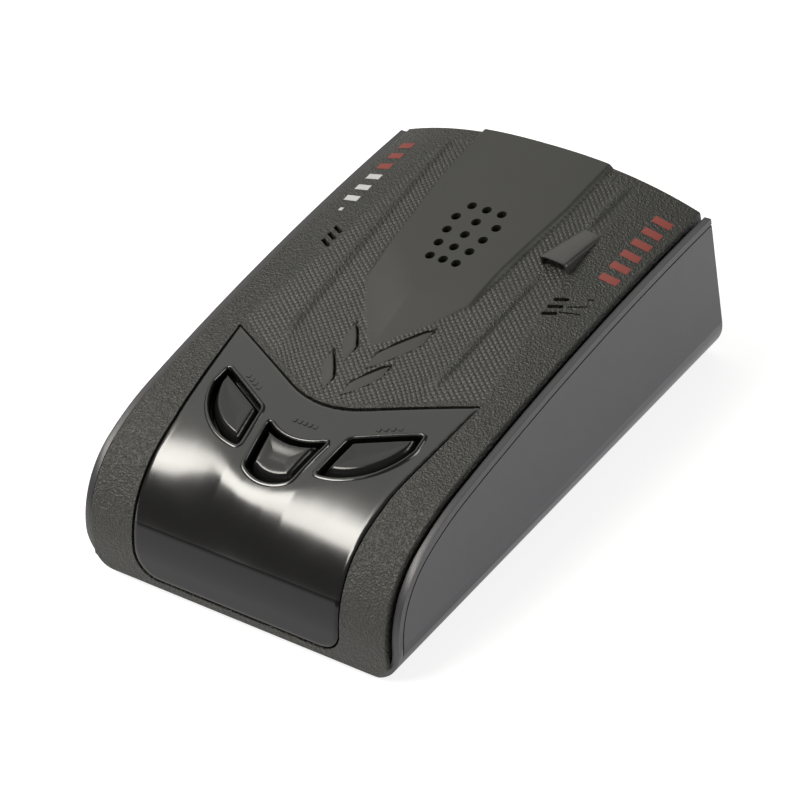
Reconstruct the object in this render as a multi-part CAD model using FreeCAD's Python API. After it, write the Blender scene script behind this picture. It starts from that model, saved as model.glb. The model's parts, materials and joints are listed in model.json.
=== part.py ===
"""Dashboard radar detector: a wedge-shaped case with a crowned cover, a glossy fascia
with three sprung buttons, a display window, and the boards, horn and speaker inside.

Millimetres.  +X is the right side, +Y runs from the display end to the rear, +Z is up.
The origin is the middle of the footprint, on the surface that the feet stand on.
"""
import FreeCAD, Part
import math
import os

V = FreeCAD.Vector

# ---------------------------------------------------------------- driving dimensions
LENGTH = 109.0
WIDTH = 75.0
HEIGHT = 39.5

FOOT_GAP = 0.2          # the feet lift the case floor by this much
FLOOR_T = 1.2
WALL_T = 1.5
SEAM = 0.8              # open line between the case lip and the cover, at the sides
FRONT_SEAM = 0.3        # the same line under the nose
CORNER_R = 8.0          # lower long edges of the case
GROOVE_DROP = 1.25      # a fine line scored into each side, this far below the lip
GROOVE_W = 0.3
GROOVE_DEPTH = 0.3

PROUD = 1.0             # the cover's edge stands this far above the case lip
RIM_REAR_Z = 33.0       # case lip at the rear
CROWN = HEIGHT - RIM_REAR_Z - PROUD
ARCH_POWER = 2.4        # 2 is a parabola across the cover; more is flatter in the middle
SKIN_T = 2.0
SKIRT = 5.0             # depth of the cover's edge inside the case
APRON = 4.0             # how far the cover's rear face reaches below the side lips

BACK_R = 533.0          # the three tangent arcs of the side profile
SHOULDER_R = 54.0
NOSE_R = 19.0
NOSE_RAKE = math.radians(6.0)   # the nose leans back by this much below its arc
SHOULDER_END = 26.0     # where the shoulder arc meets the back arc, from the nose

FIT = 0.3               # gap round each button cap
LENS_GAP = 0.15         # half of the hairline round the fascia and the window
CREASE_Z = 14.3         # the window's upper edge
WINDOW_BOTTOM_Z = 3.3
BUTTON_TILT = 12.0      # the buttons travel square to the fascia
BUTTON_TRAVEL = 0.5
STEM_END = 9.2          # switch plungers reach this far below the fascia
BOARD_T = 1.6

NOSE = -LENGTH / 2
REAR = LENGTH / 2
HALF_W = WIDTH / 2
COVER_HALF_W = HALF_W - WALL_T - SEAM
COVER_REAR = REAR - 0.1
REAR_WALL_TOP = RIM_REAR_Z - APRON
CASE_BOTTOM = FOOT_GAP
FLOOR_TOP = CASE_BOTTOM + FLOOR_T
COVER_BOTTOM = FLOOR_TOP + FRONT_SEAM

SPEAKER_HOLE_R = 1.0
SCOOP_X = 21.1          # sensor scoop on the cover, right of the speaker
SCOOP_FRONT = NOSE + 80.0
SCOOP_LENGTH = 12.0
SPEAKER_Y = NOSE + 81.4
SPEAKER_TOP = HEIGHT - 7.5
GASKET_T = 0.7
MAIN_BOARD_Z = 6.0
HORN_FRONT = REAR - 46.0
HORN_H = 15.0

JACK_Y = NOSE + 72.0
JACK_Z = MAIN_BOARD_Z + BOARD_T + 4.6
JACK_NOSE_R = 3.2
JACK_BORE_R = 1.8
JACK_DEPTH = 11.0
FOOT_R = 4.5
FOOT_TOP = CASE_BOTTOM + 0.5
FOOT_YS = (-30.0, 35.0)


# ---------------------------------------------------------------- small helpers
def box(x0, x1, y0, y1, z0, z1):
    return Part.makeBox(x1 - x0, y1 - y0, z1 - z0, V(x0, y0, z0))


def rod(radius, x, y, z0, z1):
    return Part.makeCylinder(radius, z1 - z0, V(x, y, z0))


def rod_x(radius, x0, x1, y, z):
    return Part.makeCylinder(radius, x1 - x0, V(x0, y, z), V(1, 0, 0))


def rod_y(radius, x, y0, y1, z):
    return Part.makeCylinder(radius, y1 - y0, V(x, y0, z), V(0, 1, 0))


def fused(shapes):
    return shapes[0].multiFuse(shapes[1:]).removeSplitter()


def rounded(face, radius):
    """Rounds the convex corners of a flat face."""
    return face.makeOffset2D(-radius).makeOffset2D(radius)


def polygon(points):
    return Part.Face(Part.makePolygon(points + [points[0]]))


def upright_u(half_width, bottom, radius, y0, y1):
    """A tall block with rounded lower long edges, from y0 to y1."""
    top = HEIGHT + 10
    a = radius * math.sqrt(0.5)
    right = half_width - radius
    low = bottom + radius
    edges = [
        Part.LineSegment(V(half_width, y0, top), V(half_width, y0, low)),
        Part.Arc(V(half_width, y0, low), V(right + a, y0, low - a), V(right, y0, bottom)),
        Part.LineSegment(V(right, y0, bottom), V(-right, y0, bottom)),
        Part.Arc(V(-right, y0, bottom), V(-right - a, y0, low - a), V(-half_width, y0, low)),
        Part.LineSegment(V(-half_width, y0, low), V(-half_width, y0, top)),
        Part.LineSegment(V(-half_width, y0, top), V(half_width, y0, top)),
    ]
    return Part.Face(Part.Wire([e.toShape() for e in edges])).extrude(V(0, y1 - y0, 0))


# ---------------------------------------------------------------- side profile
class Profile:
    """The case lip seen from the side: nose, shoulder and back arcs, each tangent to the next."""

    def __init__(self):
        self.nose_y = NOSE + PROUD
        self.back = (REAR, RIM_REAR_Z - BACK_R)
        self.back_angle = math.asin((REAR - NOSE - SHOULDER_END) / BACK_R)
        join = self.on(self.back, BACK_R, self.back_angle)
        self.shoulder = (
            join[0] + SHOULDER_R * math.sin(self.back_angle),
            join[1] - SHOULDER_R * math.cos(self.back_angle),
        )
        self.rise = (math.sin(NOSE_RAKE), math.cos(NOSE_RAKE))
        self.nose = self.nose_centre()
        self.nose_angle = math.asin((self.shoulder[0] - self.nose[0]) / (SHOULDER_R - NOSE_R))
        self.nose_end_angle = math.pi / 2 - NOSE_RAKE

    def nose_centre(self):
        """Centre of the arc that touches the raked nose line and the shoulder arc."""
        dy, dz = self.rise
        ay = self.nose_y + NOSE_R * dz - self.shoulder[0]
        az = CASE_BOTTOM - NOSE_R * dy - self.shoulder[1]
        along = ay * dy + az * dz
        reach = (SHOULDER_R - NOSE_R) ** 2 - ay**2 - az**2
        up = -along + math.sqrt(along**2 + reach)
        return (self.shoulder[0] + ay + up * dy, self.shoulder[1] + az + up * dz)

    def on_nose_line(self, height):
        """A point on the raked nose line, at a height above the case floor."""
        return (self.nose_y + height * math.tan(NOSE_RAKE), CASE_BOTTOM + height)

    @staticmethod
    def on(centre, radius, angle):
        """A point at an angle forward of straight up."""
        return (centre[0] - radius * math.sin(angle), centre[1] + radius * math.cos(angle))

    def stations(self):
        """Points from the foot of the nose to the rear, each with its outward direction."""
        out = []
        for height in (-7.0, -2.0, 2.5):
            y, z = self.on_nose_line(height)
            out.append((y, z, -math.cos(NOSE_RAKE), math.sin(NOSE_RAKE)))
        arcs = (
            (self.nose, NOSE_R, self.nose_end_angle, self.nose_angle, 6),
            (self.shoulder, SHOULDER_R, self.nose_angle, self.back_angle, 4),
            (self.back, BACK_R, self.back_angle, 0.0, 6),
        )
        for centre, radius, start, end, steps in arcs:
            for i in range(steps):
                angle = start + (end - start) * i / steps
                y, z = self.on(centre, radius, angle)
                out.append((y, z, -math.sin(angle), math.cos(angle)))
        out.append((REAR, RIM_REAR_Z, 0.0, 1.0))
        return out

    def lip_wire(self, x):
        """The closed outline of the case seen from the side, in the plane at x."""
        front_r = 0.6
        turn = front_r * (1 - math.sqrt(0.5))
        points = {
            "rear_top": (REAR, RIM_REAR_Z),
            "back_mid": self.on(self.back, BACK_R, self.back_angle / 2),
            "join_1": self.on(self.back, BACK_R, self.back_angle),
            "shoulder_mid": self.on(
                self.shoulder, SHOULDER_R, (self.back_angle + self.nose_angle) / 2
            ),
            "join_2": self.on(self.nose, NOSE_R, self.nose_angle),
            "nose_mid": self.on(self.nose, NOSE_R, (self.nose_angle + self.nose_end_angle) / 2),
            "nose_end": self.on(self.nose, NOSE_R, self.nose_end_angle),
            "front_low": self.on_nose_line(front_r),
            "front_turn": (self.nose_y + turn, CASE_BOTTOM + turn),
            "floor_front": (self.nose_y + front_r, CASE_BOTTOM),
            "floor_rear": (REAR, CASE_BOTTOM),
        }
        p = {name: V(x, y, z) for name, (y, z) in points.items()}
        edges = [
            Part.Arc(p["rear_top"], p["back_mid"], p["join_1"]),
            Part.Arc(p["join_1"], p["shoulder_mid"], p["join_2"]),
            Part.Arc(p["join_2"], p["nose_mid"], p["nose_end"]),
            Part.LineSegment(p["nose_end"], p["front_low"]),
            Part.Arc(p["front_low"], p["front_turn"], p["floor_front"]),
            Part.LineSegment(p["floor_front"], p["floor_rear"]),
            Part.LineSegment(p["floor_rear"], p["rear_top"]),
        ]
        return Part.Wire([e.toShape() for e in edges])


PROFILE = Profile()


def crown_at(y, x):
    """How far the cover rises above its own edge: nothing at the nose, most at the rear."""
    t = min(max((y - NOSE) / LENGTH, 0.0), 1.0)
    return CROWN * t * t * (1 - abs(x / COVER_HALF_W) ** ARCH_POWER)


def skin_point(station, x, depth):
    y, z, ny, nz = station
    out = PROUD + crown_at(y, x) - depth
    return V(x, y + ny * out, z + nz * out)


def under_skin(depth, half_width=WIDTH, rear=REAR + 1.0, bottom=-10.0):
    """Everything below the cover's outer surface, sunk by depth."""
    stations = PROFILE.stations()
    sections = []
    for i in range(9):
        x = HALF_W * (i - 4) / 4.0
        points = [skin_point(s, x, depth) for s in stations]
        end = points[-1]
        curve = Part.BSplineCurve()
        curve.interpolate(points)
        far = V(x, REAR + 5.0, end.z)
        edges = [
            curve.toShape(),
            Part.makeLine(end, far),
            Part.makeLine(far, V(x, REAR + 5.0, bottom)),
            Part.makeLine(V(x, REAR + 5.0, bottom), V(x, points[0].y, bottom)),
            Part.makeLine(V(x, points[0].y, bottom), points[0]),
        ]
        sections.append(Part.Wire(edges))
    solid = Part.makeLoft(sections, True, False)
    keep = min(half_width, HALF_W)
    return solid.common(box(-keep, keep, NOSE - 5, rear, bottom, HEIGHT + 5))


def skin_z(x, y):
    """Height of the cover's outer surface, for seating parts on it."""
    line = Part.makeLine(V(x, y, 0), V(x, y, HEIGHT + 20))
    hit = line.common(UNDER_SKIN)
    return hit.BoundBox.ZMax


UNDER_SKIN = under_skin(0.0)


# ---------------------------------------------------------------- places
def case_screw_places():
    front = [(sx * 29.4, NOSE + 12.5) for sx in (-1, 1)]
    rear = [(sx * 29.5, REAR - 9.0) for sx in (-1, 1)]
    return front + rear


def board_screw_places():
    return [(sx * 24.0, NOSE + y) for sx in (-1, 1) for y in (24.0, 84.0)]


def tilted(shape):
    """Puts a shape drawn flat, with its origin on the fascia, square to the fascia."""
    out = shape.copy()
    centre_y = NOSE + 25.0
    out.rotate(V(0, 0, 0), V(1, 0, 0), BUTTON_TILT)
    out.translate(V(0, centre_y, skin_z(0, centre_y)))
    return out


BUTTON_SIDES = {"left": -1, "centre": 0, "right": 1}
SWITCH_PLACES = {"left": (-15.5, 1.5), "centre": (0.0, -4.2), "right": (15.5, 1.5)}


def centre_outline():
    """The shield-shaped button: dipped rear edge and rounded front edge."""
    half_top = 7.0
    half_low = 5.4
    edges = [
        Part.Arc(V(-half_top, 0.8, 0), V(0, -1.4, 0), V(half_top, 0.8, 0)),
        Part.LineSegment(V(half_top, 0.8, 0), V(half_low, -9.4, 0)),
        Part.Arc(V(half_low, -9.4, 0), V(0, -11.2, 0), V(-half_low, -9.4, 0)),
        Part.LineSegment(V(-half_low, -9.4, 0), V(-half_top, 0.8, 0)),
    ]
    return Part.Face(Part.Wire([e.toShape() for e in edges]))


def leaf_outline(side):
    """The leaf-shaped buttons on each side of the shield."""
    inner_low = V(side * 9.1, -6.4, 0)
    inner_top = V(side * 10.4, 2.9, 0)
    tip = V(side * 23.2, 9.2, 0)
    shoulder = V(side * 23.6, 5.2, 0)
    edges = [
        Part.LineSegment(inner_low, inner_top),
        Part.LineSegment(inner_top, tip),
        Part.LineSegment(tip, shoulder),
        Part.Arc(shoulder, V(side * 19.0, -2.6, 0), inner_low),
    ]
    return Part.Face(Part.Wire([e.toShape() for e in edges]))


def button_outline(name):
    side = BUTTON_SIDES[name]
    face = leaf_outline(side) if side else centre_outline()
    return rounded(face, 0.8)


def flat_prism(face, low, high):
    out = face.copy()
    out.translate(V(0, 0, low))
    return out.extrude(V(0, 0, high - low))


def fascia_volume(grow):
    """The space over the glossy fascia and window, made larger by grow."""
    outline = [
        V(0, NOSE + 31.0, 0),
        V(28.6, NOSE + 44.2, 0),
        V(27.2, NOSE + 32.0, 0),
        V(25.6, NOSE + 20.0, 0),
        V(24.8, NOSE + 8.0, 0),
        V(24.4, NOSE - 5.0, 0),
    ]
    mirrored = [V(-p.x, p.y, p.z) for p in outline[:0:-1]]
    face = rounded(polygon(outline + mirrored), 1.0)
    plan = flat_prism(face.makeOffset2D(grow), -5.0, HEIGHT + 10)
    front = upright_u(30.0, WINDOW_BOTTOM_Z - grow, 1.0, NOSE - 5, NOSE + 60)
    corners = upright_u(24.5 + grow, WINDOW_BOTTOM_Z - grow, 5.0 + grow, NOSE - 5, NOSE + 2.5)
    rear_part = box(-40, 40, NOSE + 2.5, NOSE + 60, -5, HEIGHT + 10)
    return plan.common(front).common(corners.fuse(rear_part))


def vent_places():
    """Start and end of the three slanted slots on each side."""
    return [(sx, NOSE + 69.1 + 2.05 * i) for sx in (-1, 1) for i in range(3)]


def vent_cutter(side, y):
    slot = box(0, 3.0, -0.45, 0.45, HEIGHT - 12, HEIGHT + 5)
    slot.rotate(V(0, 0, 0), V(0, 0, 1), 27.0)
    if side < 0:
        slot = slot.mirror(V(0, 0, 0), V(1, 0, 0))
    slot.translate(V(side * 25.4, y, 0))
    return slot


def speaker_hole_places():
    """Five rows of three, wider towards the rear but for the last row."""
    rows = ((74.0, 3.1), (77.7, 3.7), (81.4, 4.3), (85.2, 4.8), (88.9, 3.55))
    return [(sx * spread, NOSE + y) for y, spread in rows for sx in (-1, 0, 1)]


# ---------------------------------------------------------------- casings
def side_grooves():
    """The line that follows the lip on both sides, and fades out where the case rounds under."""
    rims = []
    for depth in (GROOVE_DROP, GROOVE_DROP + GROOVE_W):
        curve = Part.BSplineCurve()
        curve.interpolate(
            [V(-HALF_W - 1, y - ny * depth, z - nz * depth) for y, z, ny, nz in PROFILE.stations()]
        )
        rims.append(curve)
    upper, lower = rims
    outline = Part.Wire([
        upper.toShape(),
        Part.makeLine(upper.EndPoint, lower.EndPoint),
        lower.toShape(),
        Part.makeLine(lower.StartPoint, upper.StartPoint),
    ])
    band = Part.Face(outline).extrude(V(WIDTH + 2, 0, 0))
    reach = HALF_W - GROOVE_DEPTH
    return band.cut(box(-reach, reach, NOSE - 5, REAR + 5, -10, HEIGHT + 5))


def lower_case():
    outer = Part.Face(PROFILE.lip_wire(-HALF_W)).extrude(V(WIDTH, 0, 0))
    outer = outer.common(upright_u(HALF_W, CASE_BOTTOM, CORNER_R, NOSE - 1, REAR + 1))
    inner = upright_u(
        HALF_W - WALL_T, FLOOR_TOP, CORNER_R - WALL_T, NOSE - 5, REAR - WALL_T
    )
    rear_gap = box(
        -HALF_W + WALL_T, HALF_W - WALL_T, REAR - 5, REAR + 1, REAR_WALL_TOP, HEIGHT + 5
    )
    shell = outer.cut(inner).cut(rear_gap)
    bosses = [rod(4.2, x, y, FLOOR_TOP, 4.4) for x, y in case_screw_places()]
    bosses += [rod(3.0, x, y, FLOOR_TOP, MAIN_BOARD_Z) for x, y in board_screw_places()]
    bosses.append(box(-8, 8, NOSE + 9.2, NOSE + 10.8, FLOOR_TOP, 5.0))
    shell = fused([shell] + bosses)
    cuts = [rod(3.0, x, y, 0, 2.6) for x, y in case_screw_places()]
    cuts += [rod(1.4, x, y, 0, 5.0) for x, y in case_screw_places()]
    cuts += [rod(1.1, x, y, FLOOR_TOP + 0.6, MAIN_BOARD_Z + 1) for x, y in board_screw_places()]
    cuts += [rod(FOOT_R + 0.15, x, y, 0, FOOT_TOP) for x, y in foot_places()]
    cuts.append(box(-17.3, 17.3, -12.3, 12.3, 0, CASE_BOTTOM + 0.35))
    cuts.append(rod_x(JACK_NOSE_R + 0.15, -HALF_W - 1, -HALF_W + 4, JACK_Y, JACK_Z))
    cuts.append(box(-15.15, 15.15, REAR - 5, REAR + 1, 12.85, 25.15))
    cuts.append(side_grooves())
    for cut in cuts:
        shell = shell.cut(cut)
    return shell


def cover_block():
    """The solid that the cover, fascia and window are cut from."""
    elevation = upright_u(COVER_HALF_W, COVER_BOTTOM, CORNER_R - WALL_T - SEAM, NOSE - 5, COVER_REAR)
    outer = UNDER_SKIN.common(elevation)
    inner_elevation = upright_u(
        COVER_HALF_W - SKIN_T, COVER_BOTTOM - 5.0, 2.0, NOSE - 5, COVER_REAR - SKIN_T
    )
    hollow = under_skin(SKIN_T).common(inner_elevation)
    shell = outer.cut(hollow)
    below_apron = box(
        -WIDTH, WIDTH, COVER_REAR - SKIN_T - 1, REAR + 1, -10, REAR_WALL_TOP + FRONT_SEAM
    )
    return shell.cut(under_skin(SKIRT, WIDTH, COVER_REAR - SKIN_T)).cut(below_apron)


def cover_posts():
    posts = []
    ceiling = under_skin(SKIN_T - 0.5)
    for x, y in case_screw_places():
        post = rod(3.4, x, y, 4.6, HEIGHT).common(ceiling)
        posts.append(post.cut(rod(1.15, x, y, 4.0, 14.0)))
    return posts


def top_cover(block):
    cover = block.cut(fascia_volume(LENS_GAP))
    ledge = SPEAKER_TOP + GASKET_T
    collar = rod(12.4, 0, SPEAKER_Y, SPEAKER_TOP - 1.5, HEIGHT)
    collar = collar.cut(rod(11.2, 0, SPEAKER_Y, SPEAKER_TOP - 2, ledge))
    collar = collar.cut(rod(9.6, 0, SPEAKER_Y, ledge - 1, HEIGHT)).common(under_skin(SKIN_T - 0.5))
    cover = fused([cover, collar] + cover_posts())
    for x, y in speaker_hole_places():
        cover = cover.cut(rod(SPEAKER_HOLE_R, x, y, SPEAKER_TOP, HEIGHT + 5))
    for side, y in vent_places():
        cover = cover.cut(vent_cutter(side, y))
    window = box(SCOOP_X - 2.2, SCOOP_X + 2.2, SCOOP_FRONT + 1.2, SCOOP_FRONT + 5.0, 20, HEIGHT + 5)
    return cover.cut(window)


def control_fascia(block):
    panel = block.common(fascia_volume(-LENS_GAP))
    panel = panel.common(box(-40, 40, NOSE - 5, REAR, CREASE_Z + LENS_GAP, HEIGHT + 5))
    for name in BUTTON_SIDES:
        panel = panel.cut(tilted(flat_prism(button_outline(name), -8, 8)))
    return panel


def display_window(block):
    panel = block.common(fascia_volume(-LENS_GAP))
    return panel.common(box(-40, 40, NOSE - 5, REAR, -5, CREASE_Z - LENS_GAP))


# ---------------------------------------------------------------- buttons
def button_cap(name):
    """A cap that fills its opening, a flange that keeps it in, and a stem."""
    outline = button_outline(name).makeOffset2D(-FIT)
    cap = tilted(flat_prism(outline, -5.4, 4)).common(under_skin(0.15))
    flange_face = button_outline(name).makeOffset2D(0.55)
    flange = tilted(flat_prism(flange_face, -5.4, 4)).common(under_skin(SKIN_T + 0.35))
    x, v = SWITCH_PLACES[name]
    stem = tilted(Part.makeCylinder(1.6, 3.0, V(x, v, -7.9)))
    solid = fused([cap, flange, stem])
    return solid.cut(tilted(box(-40, 40, -40, 40, -20, -7.9)))


def switch_plunger(name):
    x, v = SWITCH_PLACES[name]
    return tilted(Part.makeCylinder(1.7, 1.3, V(x, v, -STEM_END)))


def switch_bodies():
    out = []
    top = -STEM_END - BUTTON_TRAVEL - 0.2
    for x, v in SWITCH_PLACES.values():
        body = box(x - 3.0, x + 3.0, v - 3.0, v + 3.0, -13.0, top)
        hollow = Part.makeCylinder(1.85, 3.0, V(x, v, -12.0))
        body = body.cut(hollow)
        body = body.makeChamfer(0.3, [e for e in body.Edges if abs(e.BoundBox.ZMin - top) < 1e-6])
        out.append(tilted(body))
    return out


def button_board():
    board = box(-21.0, 21.0, -9.5, 8.0, -14.6, -13.0)
    for sx in (-1, 1):
        board = board.cut(Part.makeCylinder(1.2, 4, V(sx * 8.2, -7.2, -16)))
    return tilted(board)


def button_board_stand():
    """Two spacer columns that carry the button board on the main board."""
    underside = tilted(box(-40, 40, -40, 40, -34.6, -14.6))
    out = []
    for sx in (-1, 1):
        column = rod(1.8, sx * 18.0, NOSE + 28.0, MAIN_BOARD_Z + BOARD_T, 30)
        out.append(column.common(underside))
    return out


# ---------------------------------------------------------------- sensors
def scoop_blank(grow, front):
    """The scoop's outer wedge: square at the front, running down into the cover."""
    base = skin_z(SCOOP_X, SCOOP_FRONT) - 1.2
    top = skin_z(SCOOP_X, SCOOP_FRONT) + 2.1 + grow
    tail = SCOOP_FRONT + SCOOP_LENGTH
    half = 3.0 + grow
    profile = polygon(
        [V(0, front, base), V(0, front, top), V(0, tail, skin_z(SCOOP_X, tail) + 0.1), V(0, tail, base)]
    )
    wedge = profile.extrude(V(2 * half, 0, 0))
    wedge.translate(V(SCOOP_X - half, 0, 0))
    return wedge


def sensor_scoop():
    blank = scoop_blank(0.0, SCOOP_FRONT)
    mouth = box(SCOOP_X - 2.2, SCOOP_X + 2.2, SCOOP_FRONT - 1, SCOOP_FRONT + 5.0, 20, HEIGHT + 5)
    mouth = mouth.common(scoop_blank(-0.8, SCOOP_FRONT - 2))
    hood = blank.cut(mouth).cut(under_skin(0.0))
    foot = box(SCOOP_X - 2.1, SCOOP_X + 2.1, SCOOP_FRONT + 4.1, SCOOP_FRONT + 4.9, 20, HEIGHT + 5)
    foot = foot.common(scoop_blank(-0.2, SCOOP_FRONT)).cut(under_skin(SKIN_T + 1.0))
    return fused([hood, foot])


def scoop_lens():
    lens = box(SCOOP_X - 2.1, SCOOP_X + 2.1, SCOOP_FRONT + 0.6, SCOOP_FRONT + 1.6, 20, HEIGHT + 5)
    lens = lens.common(scoop_blank(-0.9, SCOOP_FRONT - 2))
    above = lens.cut(UNDER_SKIN)
    low = box(SCOOP_X - 2.1, SCOOP_X + 2.1, SCOOP_FRONT + 1.3, SCOOP_FRONT + 1.6, 20, HEIGHT + 5)
    low = low.common(UNDER_SKIN).cut(under_skin(SKIN_T - 0.4))
    return fused([above, low])


def rear_sensor_lens():
    plate = box(-15.0, 15.0, REAR - WALL_T - 0.2, REAR - 0.1, 13.0, 25.0)
    plate = plate.makeFillet(1.2, [e for e in plate.Edges if abs(e.tangentAt(e.FirstParameter).y) > 0.9])
    flange = box(-16.5, 16.5, REAR - WALL_T - 1.0, REAR - WALL_T - 0.2, 11.5, 26.5)
    return fused([plate, flange])


def photodiode(x, y, z, facing):
    """A small lensed sensor, looking along +Y or -Y."""
    body = box(x - 2.2, x + 2.2, y - 1.2, y + 1.2, z - 2.2, z + 2.2)
    dome = Part.makeSphere(1.5, V(x, y + facing * 1.2, z))
    return fused([body, dome])


# ---------------------------------------------------------------- boards and radar
def main_board():
    board = box(-31.0, 31.0, NOSE + 18.0, REAR - 4.0, MAIN_BOARD_Z, MAIN_BOARD_Z + BOARD_T)
    for x, y in case_screw_places():
        board = board.cut(rod(4.6, x, y, 0, 20))
    for x, y in board_screw_places():
        board = board.cut(rod(1.3, x, y, 0, 20))
    return board


def horn_antenna():
    """The cast microwave horn, open towards the rear of the case, where the car looks ahead."""
    y0 = HORN_FRONT
    y1 = REAR - 6.0
    z0 = MAIN_BOARD_Z + BOARD_T
    outer = box(-19.0, 7.0, y0, y1, z0, z0 + HORN_H)
    mouth = polygon(
        [V(-17.4, y1 + 0.1, z0 + 1.6), V(5.4, y1 + 0.1, z0 + 1.6),
         V(5.4, y1 + 0.1, z0 + HORN_H - 1.6), V(-17.4, y1 + 0.1, z0 + HORN_H - 1.6)]
    )
    throat = polygon(
        [V(-10.0, y0 + 14, z0 + 5.5), V(-2.0, y0 + 14, z0 + 5.5),
         V(-2.0, y0 + 14, z0 + 10.0), V(-10.0, y0 + 14, z0 + 10.0)]
    )
    flare = Part.makeLoft([mouth.OuterWire, throat.OuterWire], True, True)
    cavity = box(-15.0, 3.0, y0 + 2.0, y0 + 12.0, z0 + 3.0, z0 + HORN_H + 1.0)
    return outer.cut(flare).cut(cavity)


def horn_lid():
    z = MAIN_BOARD_Z + BOARD_T + HORN_H
    y0 = HORN_FRONT
    lid = box(-18.5, 6.5, y0 + 0.5, y0 + 14.5, z, z + 0.8)
    return lid.makeFillet(1.0, [e for e in lid.Edges if abs(e.tangentAt(e.FirstParameter).z) > 0.9])


def horn_lid_screws():
    z = MAIN_BOARD_Z + BOARD_T + HORN_H + 0.8
    y0 = HORN_FRONT
    return [rod(1.3, x, y0 + y, z, z + 0.9) for x in (-17.0, 5.0) for y in (2.0, 13.0)]


def mixer_board():
    z = MAIN_BOARD_Z + BOARD_T
    y0 = HORN_FRONT
    return box(-14.5, 2.5, y0 + 2.5, y0 + 11.5, z + 3.0, z + 4.0)


def shield_can():
    z = MAIN_BOARD_Z + BOARD_T
    outer = box(10.5, 28.5, NOSE + 56.0, NOSE + 74.0, z, z + 4.0)
    outer = outer.makeFillet(
        0.8, [e for e in outer.Edges if e.BoundBox.ZMax > z + 3.9 or e.BoundBox.ZLength > 3.9]
    )
    return outer.cut(box(10.9, 28.1, NOSE + 56.4, NOSE + 73.6, z - 1, z + 3.6))


def board_chips():
    z = MAIN_BOARD_Z + BOARD_T
    spans = ((-6, 6, 40, 52), (13, 20, 44, 50), (-22, -14, 46, 51), (14, 24, 88, 94))
    return [box(x0, x1, NOSE + y0, NOSE + y1, z, z + 1.3) for x0, x1, y0, y1 in spans]


def capacitors():
    z = MAIN_BOARD_Z + BOARD_T
    places = ((-27.0, 38.0), (-27.0, 46.0), (27.0, 40.0))
    return [rod(3.0, x, NOSE + y, z, z + 7.5) for x, y in places]


def display_board():
    return box(-20.0, 20.0, NOSE + 9.2 - BOARD_T - 0.2, NOSE + 9.0, 5.2, 17.0)


def display_module():
    front = NOSE + 4.9
    back = NOSE + 9.2 - BOARD_T - 0.2
    return box(-17.0, 17.0, front, back, 5.6, 12.6)


def display_segments():
    """Lit bars on the face of the module: a band bar at the left, two digits and a dot row."""
    y1 = NOSE + 4.9
    y0 = y1 - 0.25
    bars = [box(-14.5, -10.5, y0, y1, z, z + 0.9) for z in (7.0, 8.6, 10.2)]
    for x in (-4.0, 2.0):
        bars += [box(x, x + 3.2, y0, y1, z, z + 0.6) for z in (6.6, 8.8, 11.0)]
        bars += [box(x - 0.7, x - 0.1, y0, y1, z, z + 1.4) for z in (7.3, 9.5)]
        bars += [box(x + 3.3, x + 3.9, y0, y1, z, z + 1.4) for z in (7.3, 9.5)]
    bars += [box(x, x + 0.9, y0, y1, 8.7, 9.6) for x in (9.5, 11.5, 13.5)]
    return bars


def ribbon_cable():
    """Flat cable from the main board up to the display board."""
    z = MAIN_BOARD_Z + BOARD_T
    run = [
        V(-6, NOSE + 9.0, 13.0), V(-6, NOSE + 13.0, 13.0), V(-6, NOSE + 22.0, z + 0.1),
        V(-6, NOSE + 27.0, z + 0.1), V(-6, NOSE + 27.0, z + 0.5), V(-6, NOSE + 22.2, z + 0.5),
        V(-6, NOSE + 13.2, 13.4), V(-6, NOSE + 9.0, 13.4),
    ]
    return polygon(run).extrude(V(12, 0, 0))


# ---------------------------------------------------------------- speaker
def speaker_frame():
    top = SPEAKER_TOP
    cup = rod(10.9, 0, SPEAKER_Y, top - 4.5, top)
    cup = cup.cut(rod(9.9, 0, SPEAKER_Y, top - 3.7, top + 1))
    return cup.cut(rod(6.2, 0, SPEAKER_Y, top - 6, top))


def speaker_magnet():
    top = SPEAKER_TOP
    return fused([rod(6.05, 0, SPEAKER_Y, top - 5.8, top - 3.2), rod(7.4, 0, SPEAKER_Y, top - 5.8, top - 4.6)])


def speaker_cone():
    top = SPEAKER_TOP
    dish = Part.makeCone(3.6, 9.4, 1.8, V(0, SPEAKER_Y, top - 2.4))
    dish = dish.cut(Part.makeCone(3.2, 9.0, 1.8, V(0, SPEAKER_Y, top - 2.05)))
    rim = rod(9.8, 0, SPEAKER_Y, top - 0.8, top - 0.5).cut(rod(9.1, 0, SPEAKER_Y, top - 1, top))
    cap = rod(3.7, 0, SPEAKER_Y, top - 2.5, top - 2.1)
    return fused([dish, rim, cap])


def speaker_gasket():
    top = SPEAKER_TOP
    return rod(10.9, 0, SPEAKER_Y, top, top + GASKET_T).cut(rod(9.6, 0, SPEAKER_Y, top - 1, top + 2))


# ---------------------------------------------------------------- power, feet, fasteners
def power_jack():
    """The socket for the car lead, with its round mouth flush in the left wall."""
    mouth_x = -HALF_W + 0.1
    nose = rod_x(JACK_NOSE_R, mouth_x, -HALF_W + 3.0, JACK_Y, JACK_Z)
    block = box(-HALF_W + 2.0, -HALF_W + 14.0, JACK_Y - 4.5, JACK_Y + 4.5, JACK_Z - 4.6, JACK_Z + 4.5)
    bore = rod_x(JACK_BORE_R, mouth_x - 1, mouth_x + JACK_DEPTH, JACK_Y, JACK_Z)
    return fused([nose, block]).cut(bore)


def foot_places():
    return [(sx * 28.0, y) for sx in (-1, 1) for y in FOOT_YS]


def rubber_feet():
    return [rod(FOOT_R, x, y, 0, FOOT_TOP) for x, y in foot_places()]


def rating_plate():
    return box(-17.0, 17.0, -12.0, 12.0, CASE_BOTTOM + 0.05, CASE_BOTTOM + 0.35)


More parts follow.
